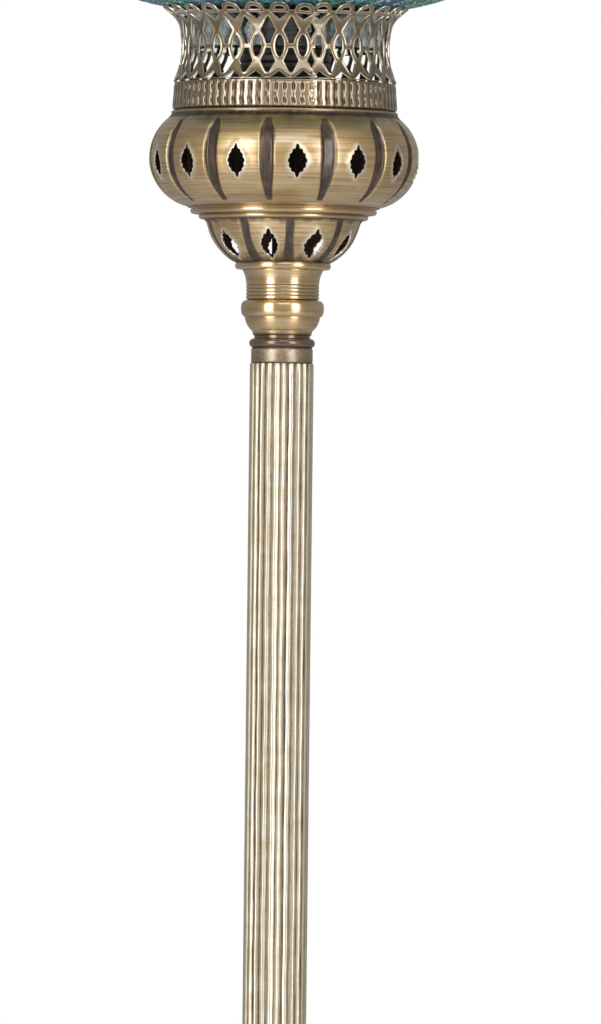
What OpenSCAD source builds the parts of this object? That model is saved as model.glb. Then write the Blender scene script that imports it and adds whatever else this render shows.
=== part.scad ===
// Mosaic floor lamp: weighted spun base, reeded pole, pierced brass head, mosaic glass globe.
// Millimetres, +Z up, floor at z = 0, the pole's axis is the Z axis, the front faces -Y.

/* [Base] */
// radius of the base over its rolled rim
base_r = 140; // [128:1:150]
// height of the base's flat top above the floor
base_h = 62; // [58:1:70]
// sheet thickness of the spun base shell
base_wall = 1.6; // [1.2:0.1:2]
// shallow grooves round the base's dome
base_grooves = 14; // [8:1:20]

/* [Pole] */
// radius over the pole's reeds
pole_r = 14.1; // [13.8:0.1:15]
// length of each of the three reeded tubes
pole_len = 328; // [250:1:360]
// reeds round the pole
reeds = 24; // [16:1:28]

/* [Head] */
// outer radius of the bulbous bowl
bowl_r = 59.4; // [58:0.1:62]
// sheet thickness of the bowl
bowl_wall = 1.8; // [1.5:0.1:2.2]
// cut-outs round the bowl
bowl_holes = 14; // [10:1:15]
// cut-outs round the lower dome
dome_holes = 9; // [7:1:10]

/* [Gallery] */
// loops round the pierced gallery
gallery_units = 29; // [24:1:30]
// sheet thickness of the gallery
gallery_wall = 0.9; // [0.7:0.1:1]
// crimps round the gallery's lower band
crimps = 80; // [60:1:90]

/* [Globe] */
// outer radius of the globe
globe_r = 122; // [110:1:130]
// height of the globe's lower half
globe_low = 92; // [86:1:100]
// height of the globe's upper half
globe_high = 100; // [90:1:110]
// wall of the blown glass
glass_wall = 3; // [2:0.1:3.5]
// thickness of the mosaic pieces
tile_t = 1.6; // [1.2:0.1:2]
// sets of three gores, teal, blue and green, round the globe
gore_sets = 8; // [5:1:10]
// large diamonds round the globe's belt
belt_count = 12; // [9:1:14]

/* [Bulb] */
// radius of the bulb's glass
bulb_r = 30; // [26:0.5:34]

/* [Hidden] */
$fn = 96;
// threaded tube and the bores that it passes through
rod_r = 5;
rod_bore = 4;
hole_r = 5.2;
snug_r = 5.05;
nut_r = 9.8;

// base
felt_h = 2;
weight_top = 22;
weight_r = base_r - 17;
recess_r = 16;
recess_top = 14;
rim_bead = 3;
skirt_r = base_r - 5;
skirt_top = 22;
dome_r = base_r - 11;
dome_z = base_h - 15;
dome_in = 66;
dome_drop = dome_z - skirt_top - 5;
dome_arc = (pow(dome_r - dome_in, 2) + pow(dome_drop, 2)) / (2 * dome_drop);
cord_r = 3.5;
gland_r = 5.5;
gland_z = 14;
gland_in = base_r - 15;
gland_out = base_r - 2.4;

// foot and pole
foot_flange = 4;
foot_neck = 14;
band_h = 8;
cup_h = 8;
bead_h = 5.3;
collar_r = pole_r - 0.5;
collar_h = 5.7;
tube_in = pole_r - 1.5;
plug_len = 20;
joint_h = 4.2;
foot_z = base_h + foot_flange + foot_neck + band_h + cup_h + bead_h;
unit_h = pole_len + 2 * collar_h;
step_h = unit_h + joint_h;
pole_top = foot_z + 3 * unit_h + 2 * joint_h - collar_h;

// head heights above the pole's top
bead_z = 5.7;
cup_z = 11;
band_z = 18.9;
neck_z = 26.8;
lip_z = 40;
dome_lo = 43.6;
dome_hi = 62;
bowl_lo = 67.4;
bowl_hi = 109.6;
bowl_c = 89.1;
bowl_arc = 22.25;
bowl_mid = bowl_r - bowl_arc;
flange_t = 1.2;
tray_t = 1.6;
nut_h = 5;
crimp_top = 123.2;
nut_z = bowl_hi + flange_t + tray_t;
cap_z = nut_z + nut_h;

// lower dome's arc
arc_r = 24.3;
arc_c = 9.5;
arc_z = 63.7;
dome_wall = 1.5;

// gallery pattern, the strip's ends meet at the front right
unit_a = 363.54 / gallery_units;
first_a = 5.86 + unit_a;
unit_s = min(1, 29 / gallery_units);

// globe
grout_t = 0.6;
neck_r = 43.5;
neck_lo = 136;
rim_tip_r = 56.4;
rim_tip_z = 155.55;
low_n = 2.8;
high_n = 2.2;
globe_gap = 0.35;
seat = globe_low * pow(1 - pow(rim_tip_r / globe_r, low_n), 1 / low_n);
globe_z = pole_top + rim_tip_z + globe_gap + seat;
glass_d = tile_t + grout_t;
neck_top = globe_z - globe_low + glass_d + 1;
belt_h = 40;
tile_gap = 1.2;
gores = 3 * gore_sets;
gore_a = 360 / gores;
gore_first = -6.5;
bead_out = 51.4;
rosette_r = 28;
belt_u = globe_r * sin(180 / belt_count) - 1.2;

// bulb and holder heights above the pole's top
holder_z = 131;
holder_top = 172;
tip_z = 146.6;
bulb_top = 224.5 - 30 + 2 * bulb_r;
bulb_c = bulb_top - bulb_r;

// solid of revolution from radius and height pairs
module turned(points) {
    rotate_extrude() polygon(points);
}

// flat ring with square edges
module ring(r_in, r_out, z0, z1) {
    translate([0, 0, z0]) difference() {
        cylinder(h = z1 - z0, r = r_out);
        translate([0, 0, -1]) cylinder(h = z1 - z0 + 2, r = r_in);
    }
}

// half profile of a ring whose outer edge is a half round
module round_edge(r_in, r_out, z0, z1) {
    half = (z1 - z0) / 2;
    translate([r_in, z0]) square([r_out - half - r_in, 2 * half]);
    translate([r_out - half, z0 + half]) circle(r = half);
}

// radial cutter: the flat outline's x runs round the axis and its y runs up
module radial(a, r0, r1) {
    rotate([0, 0, a - 90]) translate([r0, 0, 0]) rotate([90, 0, 90]) {
        linear_extrude(height = r1 - r0) children();
    }
}

// groove cutter that follows a profile arc centred at radius rc and height zc
module arc_groove(a, rc, zc, reach, tube, from, sweep) {
    rotate([0, 0, a - 90]) translate([rc, 0, zc]) rotate([90, 0, 0]) rotate([0, 0, from]) {
        rotate_extrude(angle = sweep) translate([reach, 0]) circle(r = tube, $fn = 48);
    }
}

// hexagonal nut on the axis
module hex_nut(z0, h) {
    translate([0, 0, z0]) difference() {
        linear_extrude(height = h) circle(r = nut_r, $fn = 6);
        translate([0, 0, -1]) cylinder(h = h + 2, r = snug_r);
    }
}

module felt_pad() {
    color([0.1, 0.12, 0.1]) ring(20, weight_r - 3, 0, felt_h);
}

module weight() {
    color([0.2, 0.2, 0.21]) difference() {
        turned([
            [hole_r, felt_h], [weight_r - 2, felt_h], [weight_r, felt_h + 2],
            [weight_r, weight_top - 2], [weight_r - 2, weight_top], [40, weight_top],
            [24, base_h - base_wall], [hole_r, base_h - base_wall]
        ]);
        translate([0, 0, felt_h - 1]) cylinder(h = recess_top - felt_h + 1, r = recess_r);
        translate([-5, 0, felt_h - 1]) cube([10, base_r, gland_z + cord_r + 1.5 - felt_h]);
    }
}

module tie_tube() {
    color([0.7, 0.7, 0.68]) ring(rod_bore, rod_r, 5, foot_z + 18);
}

module base_washer() {
    color([0.7, 0.7, 0.68]) ring(snug_r, 14, recess_top - 2, recess_top);
}

module base_nut() {
    color([0.7, 0.7, 0.68]) hex_nut(recess_top - 2 - nut_h, nut_h);
}

module base_profile() {
    translate([base_r - rim_bead, rim_bead + 1]) circle(r = rim_bead);
    translate([skirt_r - base_wall, 3]) square([base_wall, skirt_top - 3]);
    translate([dome_r - base_wall, skirt_top - base_wall]) {
        square([skirt_r - dome_r + base_wall, base_wall]);
    }
    translate([dome_r - base_wall, skirt_top - base_wall]) square([base_wall, 6]);
    intersection() {
        translate([dome_in, dome_z - dome_arc]) difference() {
            circle(r = dome_arc, $fn = 360);
            circle(r = dome_arc - base_wall, $fn = 360);
        }
        translate([dome_in - 1, skirt_top + 2]) square([dome_r - dome_in + 1, dome_z]);
    }
    translate([dome_in, dome_z + 0.4]) circle(r = 2.4);
    polygon([
        [dome_in, dome_z - 1.5], [dome_in, dome_z], [dome_in - 4, dome_z + 4],
        [dome_in - 6, dome_z + 5.2], [33, base_h - 1.5], [33, base_h], [hole_r, base_h],
        [hole_r, base_h - base_wall], [31.4, base_h - base_wall], [31.4, base_h - 3.2],
        [dome_in - 7, dome_z + 3.5], [dome_in - 5.4, dome_z + 2.6], [dome_in - 2, dome_z - 1]
    ]);
}

module base_shell() {
    color([0.72, 0.6, 0.38]) difference() {
        rotate_extrude() base_profile();
        for (k = [0 : base_grooves - 1]) {
            arc_groove(5.5 + k * 360 / base_grooves, dome_in, dome_z - dome_arc,
                dome_arc + 4.6, 5.4, 61, 25);
        }
        translate([0, gland_in, gland_z]) rotate([-90, 0, 0]) {
            cylinder(h = 30, r = gland_r + 0.1, $fn = 48);
        }
    }
}

module cord_gland() {
    color([0.06, 0.06, 0.06]) translate([0, gland_in, gland_z]) rotate([-90, 0, 0]) {
        difference() {
            union() {
                cylinder(h = gland_out - gland_in, r = gland_r, $fn = 48);
                translate([0, 0, skirt_r - gland_in]) {
                    cylinder(h = gland_out - skirt_r, r = gland_r + 1.2, $fn = 48);
                }
                translate([0, 0, skirt_r - base_wall - 2.4 - gland_in]) {
                    cylinder(h = 2, r = gland_r + 0.8, $fn = 48);
                }
            }
            translate([0, 0, -1]) cylinder(h = gland_out - gland_in + 2, r = cord_r, $fn = 48);
        }
    }
}

module foot_flange() {
    color([0.72, 0.6, 0.38]) rotate_extrude() {
        round_edge(hole_r, 30, base_h, base_h + foot_flange);
    }
}

module foot_neck() {
    z = base_h + foot_flange;
    color([0.72, 0.6, 0.38]) turned([
        [hole_r, z], [24, z], [24, z + 1], [22.4, z + 2], [19.6, z + 3.8], [17.6, z + 6],
        [16.6, z + 8], [16.1, z + 10], [16.1, z + foot_neck], [hole_r, z + foot_neck]
    ]);
}

module foot_band() {
    z = base_h + foot_flange + foot_neck;
    color([0.78, 0.66, 0.42]) rotate_extrude() round_edge(hole_r, 18.3, z, z + band_h);
}

module foot_cup() {
    z = base_h + foot_flange + foot_neck + band_h;
    color([0.72, 0.6, 0.38]) turned([
        [hole_r, z], [16.5, z], [16.3, z + 2], [15.6, z + 4.2], [14.4, z + 6.2],
        [12.3, z + cup_h], [hole_r, z + cup_h]
    ]);
}

// dark round bead with a narrow waist, waist below or above
module bead(z, flip) {
    color([0.12, 0.08, 0.05]) translate([0, 0, z + (flip ? bead_h : 0)]) mirror([0, 0, flip ? 1 : 0]) {
        rotate_extrude() {
            round_edge(hole_r, 14.5, 0, bead_h - 1.3);
            translate([hole_r, 1]) square([12.3 - hole_r, bead_h - 1]);
        }
    }
}

module foot_bead() {
    bead(foot_z - bead_h, true);
}

// reeded tube
module pole(i) {
    color([0.78, 0.66, 0.42]) translate([0, 0, foot_z + i * step_h + collar_h]) {
        linear_extrude(height = pole_len) difference() {
            circle(r = pole_r, $fn = 120);
            circle(r = tube_in, $fn = 120);
            for (k = [0 : reeds - 1]) {
                rotate(k * 360 / reeds - 90.7) translate([pole_r + 0.25, 0]) circle(r = 0.8, $fn = 24);
            }
        }
    }
}

module pole_lower() {
    pole(0);
}

module pole_middle() {
    pole(1);
}

module pole_upper() {
    pole(2);
}

// collar with a spigot inside the tube, drawn for a tube's lower end
module plug(i, upper) {
    z = foot_z + i * step_h;
    color([0.72, 0.6, 0.38]) translate([0, 0, upper ? z + unit_h : z]) {
        mirror([0, 0, upper ? 1 : 0]) difference() {
            union() {
                cylinder(h = collar_h, r = collar_r);
                cylinder(h = plug_len, r = tube_in - 0.05);
            }
            translate([0, 0, -1]) cylinder(h = plug_len + 2, r = snug_r);
        }
    }
}

module plug_1() {
    plug(0, false);
}

module plug_2() {
    plug(0, true);
}

module plug_3() {
    plug(1, false);
}

module plug_4() {
    plug(1, true);
}

module plug_5() {
    plug(2, false);
}

module plug_6() {
    plug(2, true);
}

module joint_bead(i) {
    z = foot_z + unit_h + i * step_h;
    color([0.12, 0.08, 0.05]) rotate_extrude() round_edge(hole_r, 14.5, z, z + joint_h);
}

module joint_bead_1() {
    joint_bead(0);
}

module joint_bead_2() {
    joint_bead(1);
}

module joint_nipple(i) {
    z = foot_z + unit_h + i * step_h + joint_h / 2;
    color([0.7, 0.7, 0.68]) ring(rod_bore, rod_r, z - 18, z + 18);
}

module joint_nipple_1() {
    joint_nipple(0);
}

module joint_nipple_2() {
    joint_nipple(1);
}

module head_bead() {
    bead(pole_top + bead_z, false);
}

module head_cup() {
    z = pole_top + cup_z;
    color([0.72, 0.6, 0.38]) turned([
        [hole_r, z], [12.3, z], [14.2, z + 1.6], [15.5, z + 3.6], [16.2, z + 5.8],
        [16.5, z + 7.9], [hole_r, z + 7.9]
    ]);
}

module head_band() {
    z = pole_top + band_z;
    color([0.78, 0.66, 0.42]) rotate_extrude() round_edge(hole_r, 18.3, z, z + 7.9);
}

module neck() {
    z = pole_top + neck_z;
    color([0.78, 0.66, 0.42]) turned([
        [hole_r, z], [16.1, z], [16.1, z + 1.6], [15.7, z + 1.9], [16.1, z + 2.2],
        [16.1, z + 3.4], [15.7, z + 3.7], [16.1, z + 4], [16.1, z + 5.2], [15.7, z + 5.5],
        [16.1, z + 5.8], [16.2, z + 7.6], [16.7, z + 9.4], [17.7, z + 11.2], [19.1, z + 12.4],
        [19.1, z + 13.2], [16.6, z + 13.2], [14.6, z + 9.4], [14, z + 7.6], [14, z + 3],
        [hole_r, z + 3]
    ]);
}

module dome_profile() {
    translate([0, pole_top]) {
        round_edge(17, 21.1, lip_z, dome_lo);
        intersection() {
            translate([arc_c, arc_z]) difference() {
                circle(r = arc_r);
                circle(r = arc_r - dome_wall);
            }
            translate([17, lip_z + 2]) square([20, dome_hi - lip_z - 2]);
        }
        translate([30, dome_hi - 1.8]) square([4.7, 1.8]);
    }
}

// pierced lozenge with waisted points, half height h and half width w
module lozenge(h, w) {
    polygon([
        [0, h], [0.2 * w, 0.78 * h], [0.34 * w, 0.69 * h], [0.62 * w, 0.6 * h],
        [0.7 * w, 0.42 * h], [0.9 * w, 0.22 * h], [w, 0], [0.88 * w, -0.22 * h],
        [0.7 * w, -0.42 * h], [0.62 * w, -0.58 * h], [0.34 * w, -0.71 * h],
        [0.17 * w, -0.85 * h], [0, -h], [-0.17 * w, -0.85 * h], [-0.34 * w, -0.71 * h],
        [-0.62 * w, -0.58 * h], [-0.7 * w, -0.42 * h], [-0.88 * w, -0.22 * h], [-w, 0],
        [-0.9 * w, 0.22 * h], [-0.7 * w, 0.42 * h], [-0.62 * w, 0.6 * h],
        [-0.34 * w, 0.69 * h], [-0.2 * w, 0.78 * h]
    ]);
}

module pierced_dome() {
    pitch = 360 / dome_holes;
    color([0.76, 0.64, 0.4]) difference() {
        rotate_extrude() dome_profile();
        for (k = [0 : dome_holes - 1]) {
            radial(-11.5 + k * pitch, 15, 40) {
                translate([0, pole_top + 51.2]) lozenge(5.7, 3.7);
            }
            arc_groove(8.5 + k * pitch, arc_c, pole_top + arc_z, arc_r + 1.1, 1.8, -56, 45);
        }
    }
}

module step_ring() {
    z = pole_top + dome_hi;
    top = pole_top + bowl_lo;
    color([0.72, 0.6, 0.38]) turned([
        [30, z], [35.2, z], [36.8, z + 0.3], [37.5, z + 1.1], [37.4, z + 1.8],
        [38.2, z + 2.2], [40.2, z + 2.5], [41.1, z + 3.3], [41.1, z + 4.2], [40.6, z + 4.8],
        [41.8, top - 0.4], [41.8, top], [30, top]
    ]);
}

module bowl_profile() {
    translate([0, pole_top]) {
        intersection() {
            translate([bowl_mid, bowl_c]) difference() {
                circle(r = bowl_arc, $fn = 144);
                circle(r = bowl_arc - bowl_wall, $fn = 144);
            }
            translate([bowl_mid, bowl_lo]) square([30, bowl_hi - bowl_lo]);
        }
        translate([38, bowl_lo]) square([bowl_mid + 4.9 - 38, bowl_wall]);
        translate([41, bowl_hi - bowl_wall]) square([bowl_mid + 8.4 - 41, bowl_wall]);
    }
}

module bowl() {
    pitch = 360 / bowl_holes;
    color([0.74, 0.62, 0.4]) difference() {
        rotate_extrude() bowl_profile();
        for (k = [0 : bowl_holes - 1]) {
            radial(5.5 + k * pitch, bowl_mid + 10, bowl_r + 5) {
                translate([0, pole_top + bowl_c - 3.2]) lozenge(7.4, 3.7);
            }
            arc_groove(-7.4 + k * pitch, bowl_mid, pole_top + bowl_c, bowl_arc + 2.7, 3.6, -61, 106);
        }
    }
}

// outer and inner faces of the gallery's pierced wall, above the pole's top
gallery_out = [
    [48, 124.6], [47.1, 127.2], [46.2, 130.6], [45.6, 134.5], [45.6, 138.5], [46.2, 142.6],
    [47.2, 146.5], [48.6, 150], [51.3, 153.2], [56.6, 154.75]
];
gallery_in = [
    [rim_tip_r, rim_tip_z], [51, 154.05], [48.6 - gallery_wall, 150.5],
    [47.2 - gallery_wall, 146.7], [46.2 - gallery_wall, 142.7], [45.6 - gallery_wall, 138.6],
    [45.6 - gallery_wall, 134.4], [46.2 - gallery_wall, 130.4], [47.1 - gallery_wall, 127],
    [48 - gallery_wall, 124.3], [48.9 - gallery_wall, 123]
];
crimp_out = [
    [48.8, bowl_hi], [49.2, 111.2], [49.6, 114], [49.2, 116.8], [49.4, 119.6],
    [49.2, 122], [48.9, crimp_top]
];

module gallery_profile() {
    translate([0, pole_top]) polygon(concat(
        [[41, bowl_hi]], crimp_out, gallery_out, gallery_in,
        [[48.9 - gallery_wall, bowl_hi + flange_t], [41, bowl_hi + flange_t]]
    ));
}

// openings on a loop's own centre line
module loop_holes() {
    polygon([[-2.1, 153.3], [2.1, 153.3], [1.6, 154.2], [0, 154.6], [-1.6, 154.2]]);
    polygon([[-3.6, 151.6], [3.6, 151.6], [0, 148.4]]);
    polygon([
        [0, 141.5], [1.3, 139.4], [1.75, 136.6], [1.3, 133.9], [0, 131.8],
        [-1.3, 133.9], [-1.75, 136.6], [-1.3, 139.4]
    ]);
    polygon([[-3.5, 123.6], [3.5, 123.6], [0, 126.2]]);
}

// openings between two loops
module between_holes() {
    polygon([
        [0, 148.9], [1.6, 146.6], [2.85, 143.7], [2, 140.6], [1, 138], [-1, 138],
        [-2, 140.6], [-2.85, 143.7], [-1.6, 146.6]
    ]);
    polygon([
        [-1, 135.6], [1, 135.6], [1.9, 133], [2.85, 130.1], [1.5, 127.8], [0, 125.9],
        [-1.5, 127.8], [-2.85, 130.1], [-1.9, 133]
    ]);
    polygon([[0, 153.3], [2.4, 156.5], [-2.4, 156.5]]);
}

module gallery() {
    color([0.8, 0.68, 0.42]) difference() {
        rotate_extrude() gallery_profile();
        for (k = [0 : gallery_units - 1]) {
            radial(first_a + k * unit_a, 40, 60) {
                translate([0, pole_top]) scale([unit_s, 1]) loop_holes();
            }
        }
        for (k = [0 : gallery_units - 2]) {
            radial(first_a + (k + 0.5) * unit_a, 40, 60) {
                translate([0, pole_top]) scale([unit_s, 1]) between_holes();
            }
        }
        for (k = [0 : crimps - 1]) {
            rotate([0, 0, k * 360 / crimps]) translate([50, 0, pole_top + 111.4]) {
                cylinder(h = 10.8, r = 0.8, $fn = 24);
            }
        }
    }
}

module tray() {
    z = pole_top + bowl_hi + flange_t;
    color([0.6, 0.5, 0.32]) ring(hole_r, 47.6, z, z + tray_t);
}

module head_nipple() {
    color([0.7, 0.7, 0.68]) ring(rod_bore, rod_r, pole_top - 13, pole_top + cap_z + 6);
}

module clamp_nut() {
    color([0.7, 0.7, 0.68]) hex_nut(pole_top + nut_z, nut_h);
}

module holder_cap() {
    z = pole_top + cap_z;
    h = pole_top + holder_z;
    color([0.05, 0.05, 0.05]) turned([
        [snug_r, z], [9, z], [9.6, z + 1.6], [15, z + 4.2], [19, z + 8], [20, h - 2],
        [20, h], [17.6, h], [17.6, h - 2], [16.6, z + 9], [13.6, z + 6.4],
        [9, z + 4.6], [snug_r, z + 4.6]
    ]);
}

module holder_body() {
    z = pole_top + holder_z;
    h = pole_top + holder_top;
    color([0.05, 0.05, 0.05]) turned([
        [17.6, z], [20, z], [20, z + 18], [19.4, z + 18.6], [20, z + 19.2], [20, h - 1.2],
        [18.8, h], [14.4, h], [14.4, z + 13.6], [17.6, z + 13.6]
    ]);
}

module thread_shell() {
    color([0.75, 0.74, 0.7]) ring(13.45, 14.3, pole_top + holder_z + 13.6, pole_top + holder_top - 1);
}

module holder_insulator() {
    z = pole_top + holder_z;
    color([0.9, 0.88, 0.84]) difference() {
        translate([0, 0, z + 5]) cylinder(h = 8.5, r = 17.4);
        for (s = [-1, 1]) {
            translate([s * 11, 0, z + 4]) cylinder(h = 11, r = 2.05, $fn = 32);
        }
    }
}

module contact_tongue() {
    z = pole_top + holder_z + 13.5;
    color([0.8, 0.68, 0.42]) translate([0, 0, z]) {
        translate([-2.5, -8, 0]) cube([5, 14, 0.6]);
        translate([-2.5, -3, 0.6]) cube([5, 6, 0.9]);
    }
}

module terminal_screws() {
    z = pole_top + holder_z;
    color([0.75, 0.74, 0.7]) for (s = [-1, 1]) {
        translate([s * 11, 0, z + 5.5]) cylinder(h = 7.5, r = 2, $fn = 32);
        translate([s * 11, 0, z + 3]) cylinder(h = 2, r = 3.4, $fn = 32);
        translate([s * 11, 0, z + 4]) cylinder(h = 3, r = 2, $fn = 32);
    }
}

module bulb_tip() {
    z = pole_top + tip_z;
    color([0.75, 0.74, 0.7]) translate([0, 0, z]) {
        cylinder(h = 1.2, r1 = 3.4, r2 = 4.6);
    }
}

module bulb_insulator() {
    z = pole_top + tip_z + 1.2;
    color([0.05, 0.05, 0.06]) turned([
        [0, z], [5, z], [9.6, z + 2.2], [9.6, z + 3], [0, z + 3]
    ]);
}

module bulb_cap() {
    z = pole_top + tip_z + 3.4;
    h = pole_top + holder_top;
    color([0.75, 0.74, 0.7]) turned([
        [9.7, z - 1.2], [11.6, z], [13.1, z + 2], [13.1, h], [12.6, h], [12.6, z + 2.2],
        [11.3, z + 0.5], [9.7, z - 0.5]
    ]);
}

// bulb outline shrunk by the glass thickness t
module bulb_outline(t) {
    z = pole_top;
    k = bulb_r / 30;
    intersection() {
        union() {
            translate([0, z + bulb_c]) circle(r = bulb_r - t);
            polygon([
                [0, z + 169], [12.5 - t, z + 169], [12.5 - t, z + 173], [14.6 * k - t, z + 180],
                [19 * k - t, z + 193], [bulb_r * 0.883 - t, z + bulb_c - bulb_r * 0.469],
                [0, z + bulb_c]
            ]);
        }
        translate([0, z + 169]) square([bulb_r + 1, 2 * bulb_r + 100]);
    }
}

module bulb_glass() {
    color([0.92, 0.94, 0.95, 0.35]) rotate_extrude() difference() {
        bulb_outline(0);
        bulb_outline(0.8);
        translate([0, pole_top + 168]) square([11.7, 3]);
    }
}

module bulb_stem() {
    z = pole_top;
    color([0.9, 0.92, 0.94, 0.35]) turned([
        [0, z + 169.4], [11.6, z + 169.4], [11.6, z + 170.6], [6.5, z + 172.6], [5, z + 178],
        [3, z + 184], [2, z + 186], [2, z + 198], [0, z + 198]
    ]);
}

module bulb_filaments() {
    z = pole_top;
    color([0.95, 0.7, 0.2]) for (k = [0 : 3]) {
        rotate([0, 0, 45 + 90 * k]) translate([3.2, 0, z + 187]) rotate([0, 9, 0]) {
            cylinder(h = 34, r = 0.9, $fn = 24);
        }
    }
}

// half outline of the globe, shrunk by d all round
function low_side(d) = [
    for (t = [0 : 5 : 90])
    [(globe_r - d) * pow(sin(t), 2 / low_n), -(globe_low - d) * pow(cos(t), 2 / low_n)]
];
function high_side(d) = [
    for (t = [85 : -5 : 0])
    [(globe_r - d) * pow(sin(t), 2 / high_n), (globe_high - d) * pow(cos(t), 2 / high_n)]
];

module globe_half(d) {
    polygon(concat(low_side(d), high_side(d)));
}

// layer of the globe between two depths
module layer(d0, d1) {
    translate([0, globe_z]) difference() {
        globe_half(d0);
        globe_half(d1);
    }
}

// box over a height range, measured from the globe's centre
module window(r0, r1, z0, z1) {
    translate([r0, globe_z + z0]) square([r1 - r0, z1 - z0]);
}

module tiles_in(r0, r1, z0, z1) {
    intersection() {
        layer(0, tile_t);
        window(r0, r1, z0, z1);
    }
}

// the glass is blown in one: its neck, lower half and crown are separate solids that meet
module globe_neck() {
    color([0.8, 0.86, 0.82, 0.35]) ring(neck_r - glass_wall, neck_r, pole_top + neck_lo, neck_top);
}

module globe_glass() {
    color([0.8, 0.86, 0.82, 0.35]) rotate_extrude() difference() {
        union() {
            intersection() {
                layer(glass_d, glass_d + glass_wall);
                window(0, globe_r, -globe_low, 0);
            }
            translate([neck_r - glass_wall, neck_top]) {
                square([glass_wall, pole_top + 154.5 + glass_d - neck_top]);
            }
        }
        translate([0, pole_top]) square([neck_r - glass_wall, 200]);
    }
}

module globe_crown() {
    color([0.8, 0.86, 0.82, 0.35]) rotate_extrude() intersection() {
        layer(glass_d, glass_d + glass_wall);
        window(0, globe_r, 0, globe_high);
    }
}

module grout() {
    color([0.85, 0.83, 0.78]) rotate_extrude() intersection() {
        layer(tile_t, tile_t + grout_t);
        union() {
            window(45.5, globe_r, -globe_low, 0);
            window(0, globe_r, 0, globe_high);
        }
    }
}

module bead_band() {
    color([0.1, 0.35, 0.33]) rotate_extrude() tiles_in(45.5, bead_out, -globe_low, 0);
}

// every third gore, below and above the belt
module gore_set(i) {
    gap = 0.9;
    for (k = [0 : gore_sets - 1]) {
        rotate([0, 0, gore_first - 90 + (3 * k + i - 0.5) * gore_a + gap / 2]) {
            rotate_extrude(angle = gore_a - gap) {
                tiles_in(bead_out + tile_gap, globe_r, -globe_low, -belt_h - tile_gap);
                tiles_in(rosette_r + tile_gap, globe_r, belt_h + tile_gap, globe_high);
            }
        }
    }
}

module gores_teal() {
    color([0.05, 0.42, 0.42]) gore_set(0);
}

module gores_blue() {
    color([0.05, 0.2, 0.5]) gore_set(1);
}

module gores_green() {
    color([0.1, 0.4, 0.2]) gore_set(2);
}

// the belt's part of the mosaic layer
module belt_ring() {
    rotate_extrude() tiles_in(50, globe_r + 1, -belt_h, belt_h);
}

// radial prisms in the shape of a diamond, half width u and half height v
module diamonds(u, v) {
    for (k = [0 : belt_count - 1]) {
        radial(k * 360 / belt_count, globe_r * 0.7, globe_r + 5) {
            translate([0, globe_z]) polygon([[u, 0], [0, v], [-u, 0], [0, -v]]);
        }
    }
}

module belt_diamonds() {
    color([0.05, 0.42, 0.42]) difference() {
        intersection() {
            belt_ring();
            diamonds(belt_u, belt_h - 2);
        }
        diamonds(belt_u * 0.5 + 1, belt_h * 0.5);
    }
}

module belt_hearts() {
    color([0.05, 0.2, 0.5]) intersection() {
        belt_ring();
        diamonds(belt_u * 0.5 - 0.4, belt_h * 0.5 - 1.8);
    }
}

module belt_field() {
    color([0.1, 0.4, 0.2]) difference() {
        belt_ring();
        diamonds(belt_u + 0.9, belt_h - 0.8);
    }
}

module rosette() {
    color([0.05, 0.2, 0.5]) {
        for (k = [0 : 7]) {
            rotate([0, 0, 45 * k + 1.5]) rotate_extrude(angle = 42) {
                tiles_in(9, rosette_r, 0, globe_high);
            }
        }
        rotate_extrude() tiles_in(0, 7.8, 0, globe_high);
    }
}

felt_pad();
weight();
tie_tube();
base_washer();
base_nut();
base_shell();
cord_gland();
foot_flange();
foot_neck();
foot_band();
foot_cup();
foot_bead();
pole_lower();
pole_middle();
pole_upper();
plug_1();
plug_2();
plug_3();
plug_4();
plug_5();
plug_6();
joint_bead_1();
joint_bead_2();
joint_nipple_1();
joint_nipple_2();
head_bead();
head_cup();
head_band();
neck();
pierced_dome();
step_ring();
bowl();
gallery();
tray();
head_nipple();
clamp_nut();
holder_cap();
holder_body();
thread_shell();
holder_insulator();
contact_tongue();
terminal_screws();
bulb_tip();
bulb_cap();
bulb_insulator();
bulb_glass();
bulb_stem();
bulb_filaments();
globe_neck();
globe_glass();
globe_crown();
grout();
bead_band();
gores_teal();
gores_blue();
gores_green();
belt_diamonds();
belt_hearts();
belt_field();
rosette();
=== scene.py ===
import bisect
import math
import random

import bmesh
import bpy
from mathutils import Matrix, Vector, geometry


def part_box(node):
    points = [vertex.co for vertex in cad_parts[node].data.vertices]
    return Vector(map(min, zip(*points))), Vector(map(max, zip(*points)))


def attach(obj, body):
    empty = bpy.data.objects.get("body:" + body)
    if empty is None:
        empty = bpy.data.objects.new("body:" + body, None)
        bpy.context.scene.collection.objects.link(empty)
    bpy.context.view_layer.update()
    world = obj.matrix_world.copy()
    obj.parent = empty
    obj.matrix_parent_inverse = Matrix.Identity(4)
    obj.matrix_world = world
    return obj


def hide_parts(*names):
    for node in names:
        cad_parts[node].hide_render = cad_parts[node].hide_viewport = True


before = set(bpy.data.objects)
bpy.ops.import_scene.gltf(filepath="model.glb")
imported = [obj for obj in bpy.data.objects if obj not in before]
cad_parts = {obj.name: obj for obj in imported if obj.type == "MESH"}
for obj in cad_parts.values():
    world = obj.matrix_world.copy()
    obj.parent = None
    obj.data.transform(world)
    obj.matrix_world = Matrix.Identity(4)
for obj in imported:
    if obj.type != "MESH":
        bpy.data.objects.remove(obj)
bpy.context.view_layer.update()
random.seed(11)

# Lengths are millimetres until they reach a mesh, and angles are degrees from the front (-Y) towards +X.
mm = 0.001
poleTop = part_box("pole_upper")[1].z
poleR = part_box("pole_upper")[1].x / mm
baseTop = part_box("base_shell")[1].z


# Node helpers

def linkOrSet(tree, socket, value):
    if isinstance(value, bpy.types.NodeSocket):
        tree.links.new(value, socket)
    elif isinstance(value, tuple):
        socket.default_value = (*value, 1)
    else:
        socket.default_value = value


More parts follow.
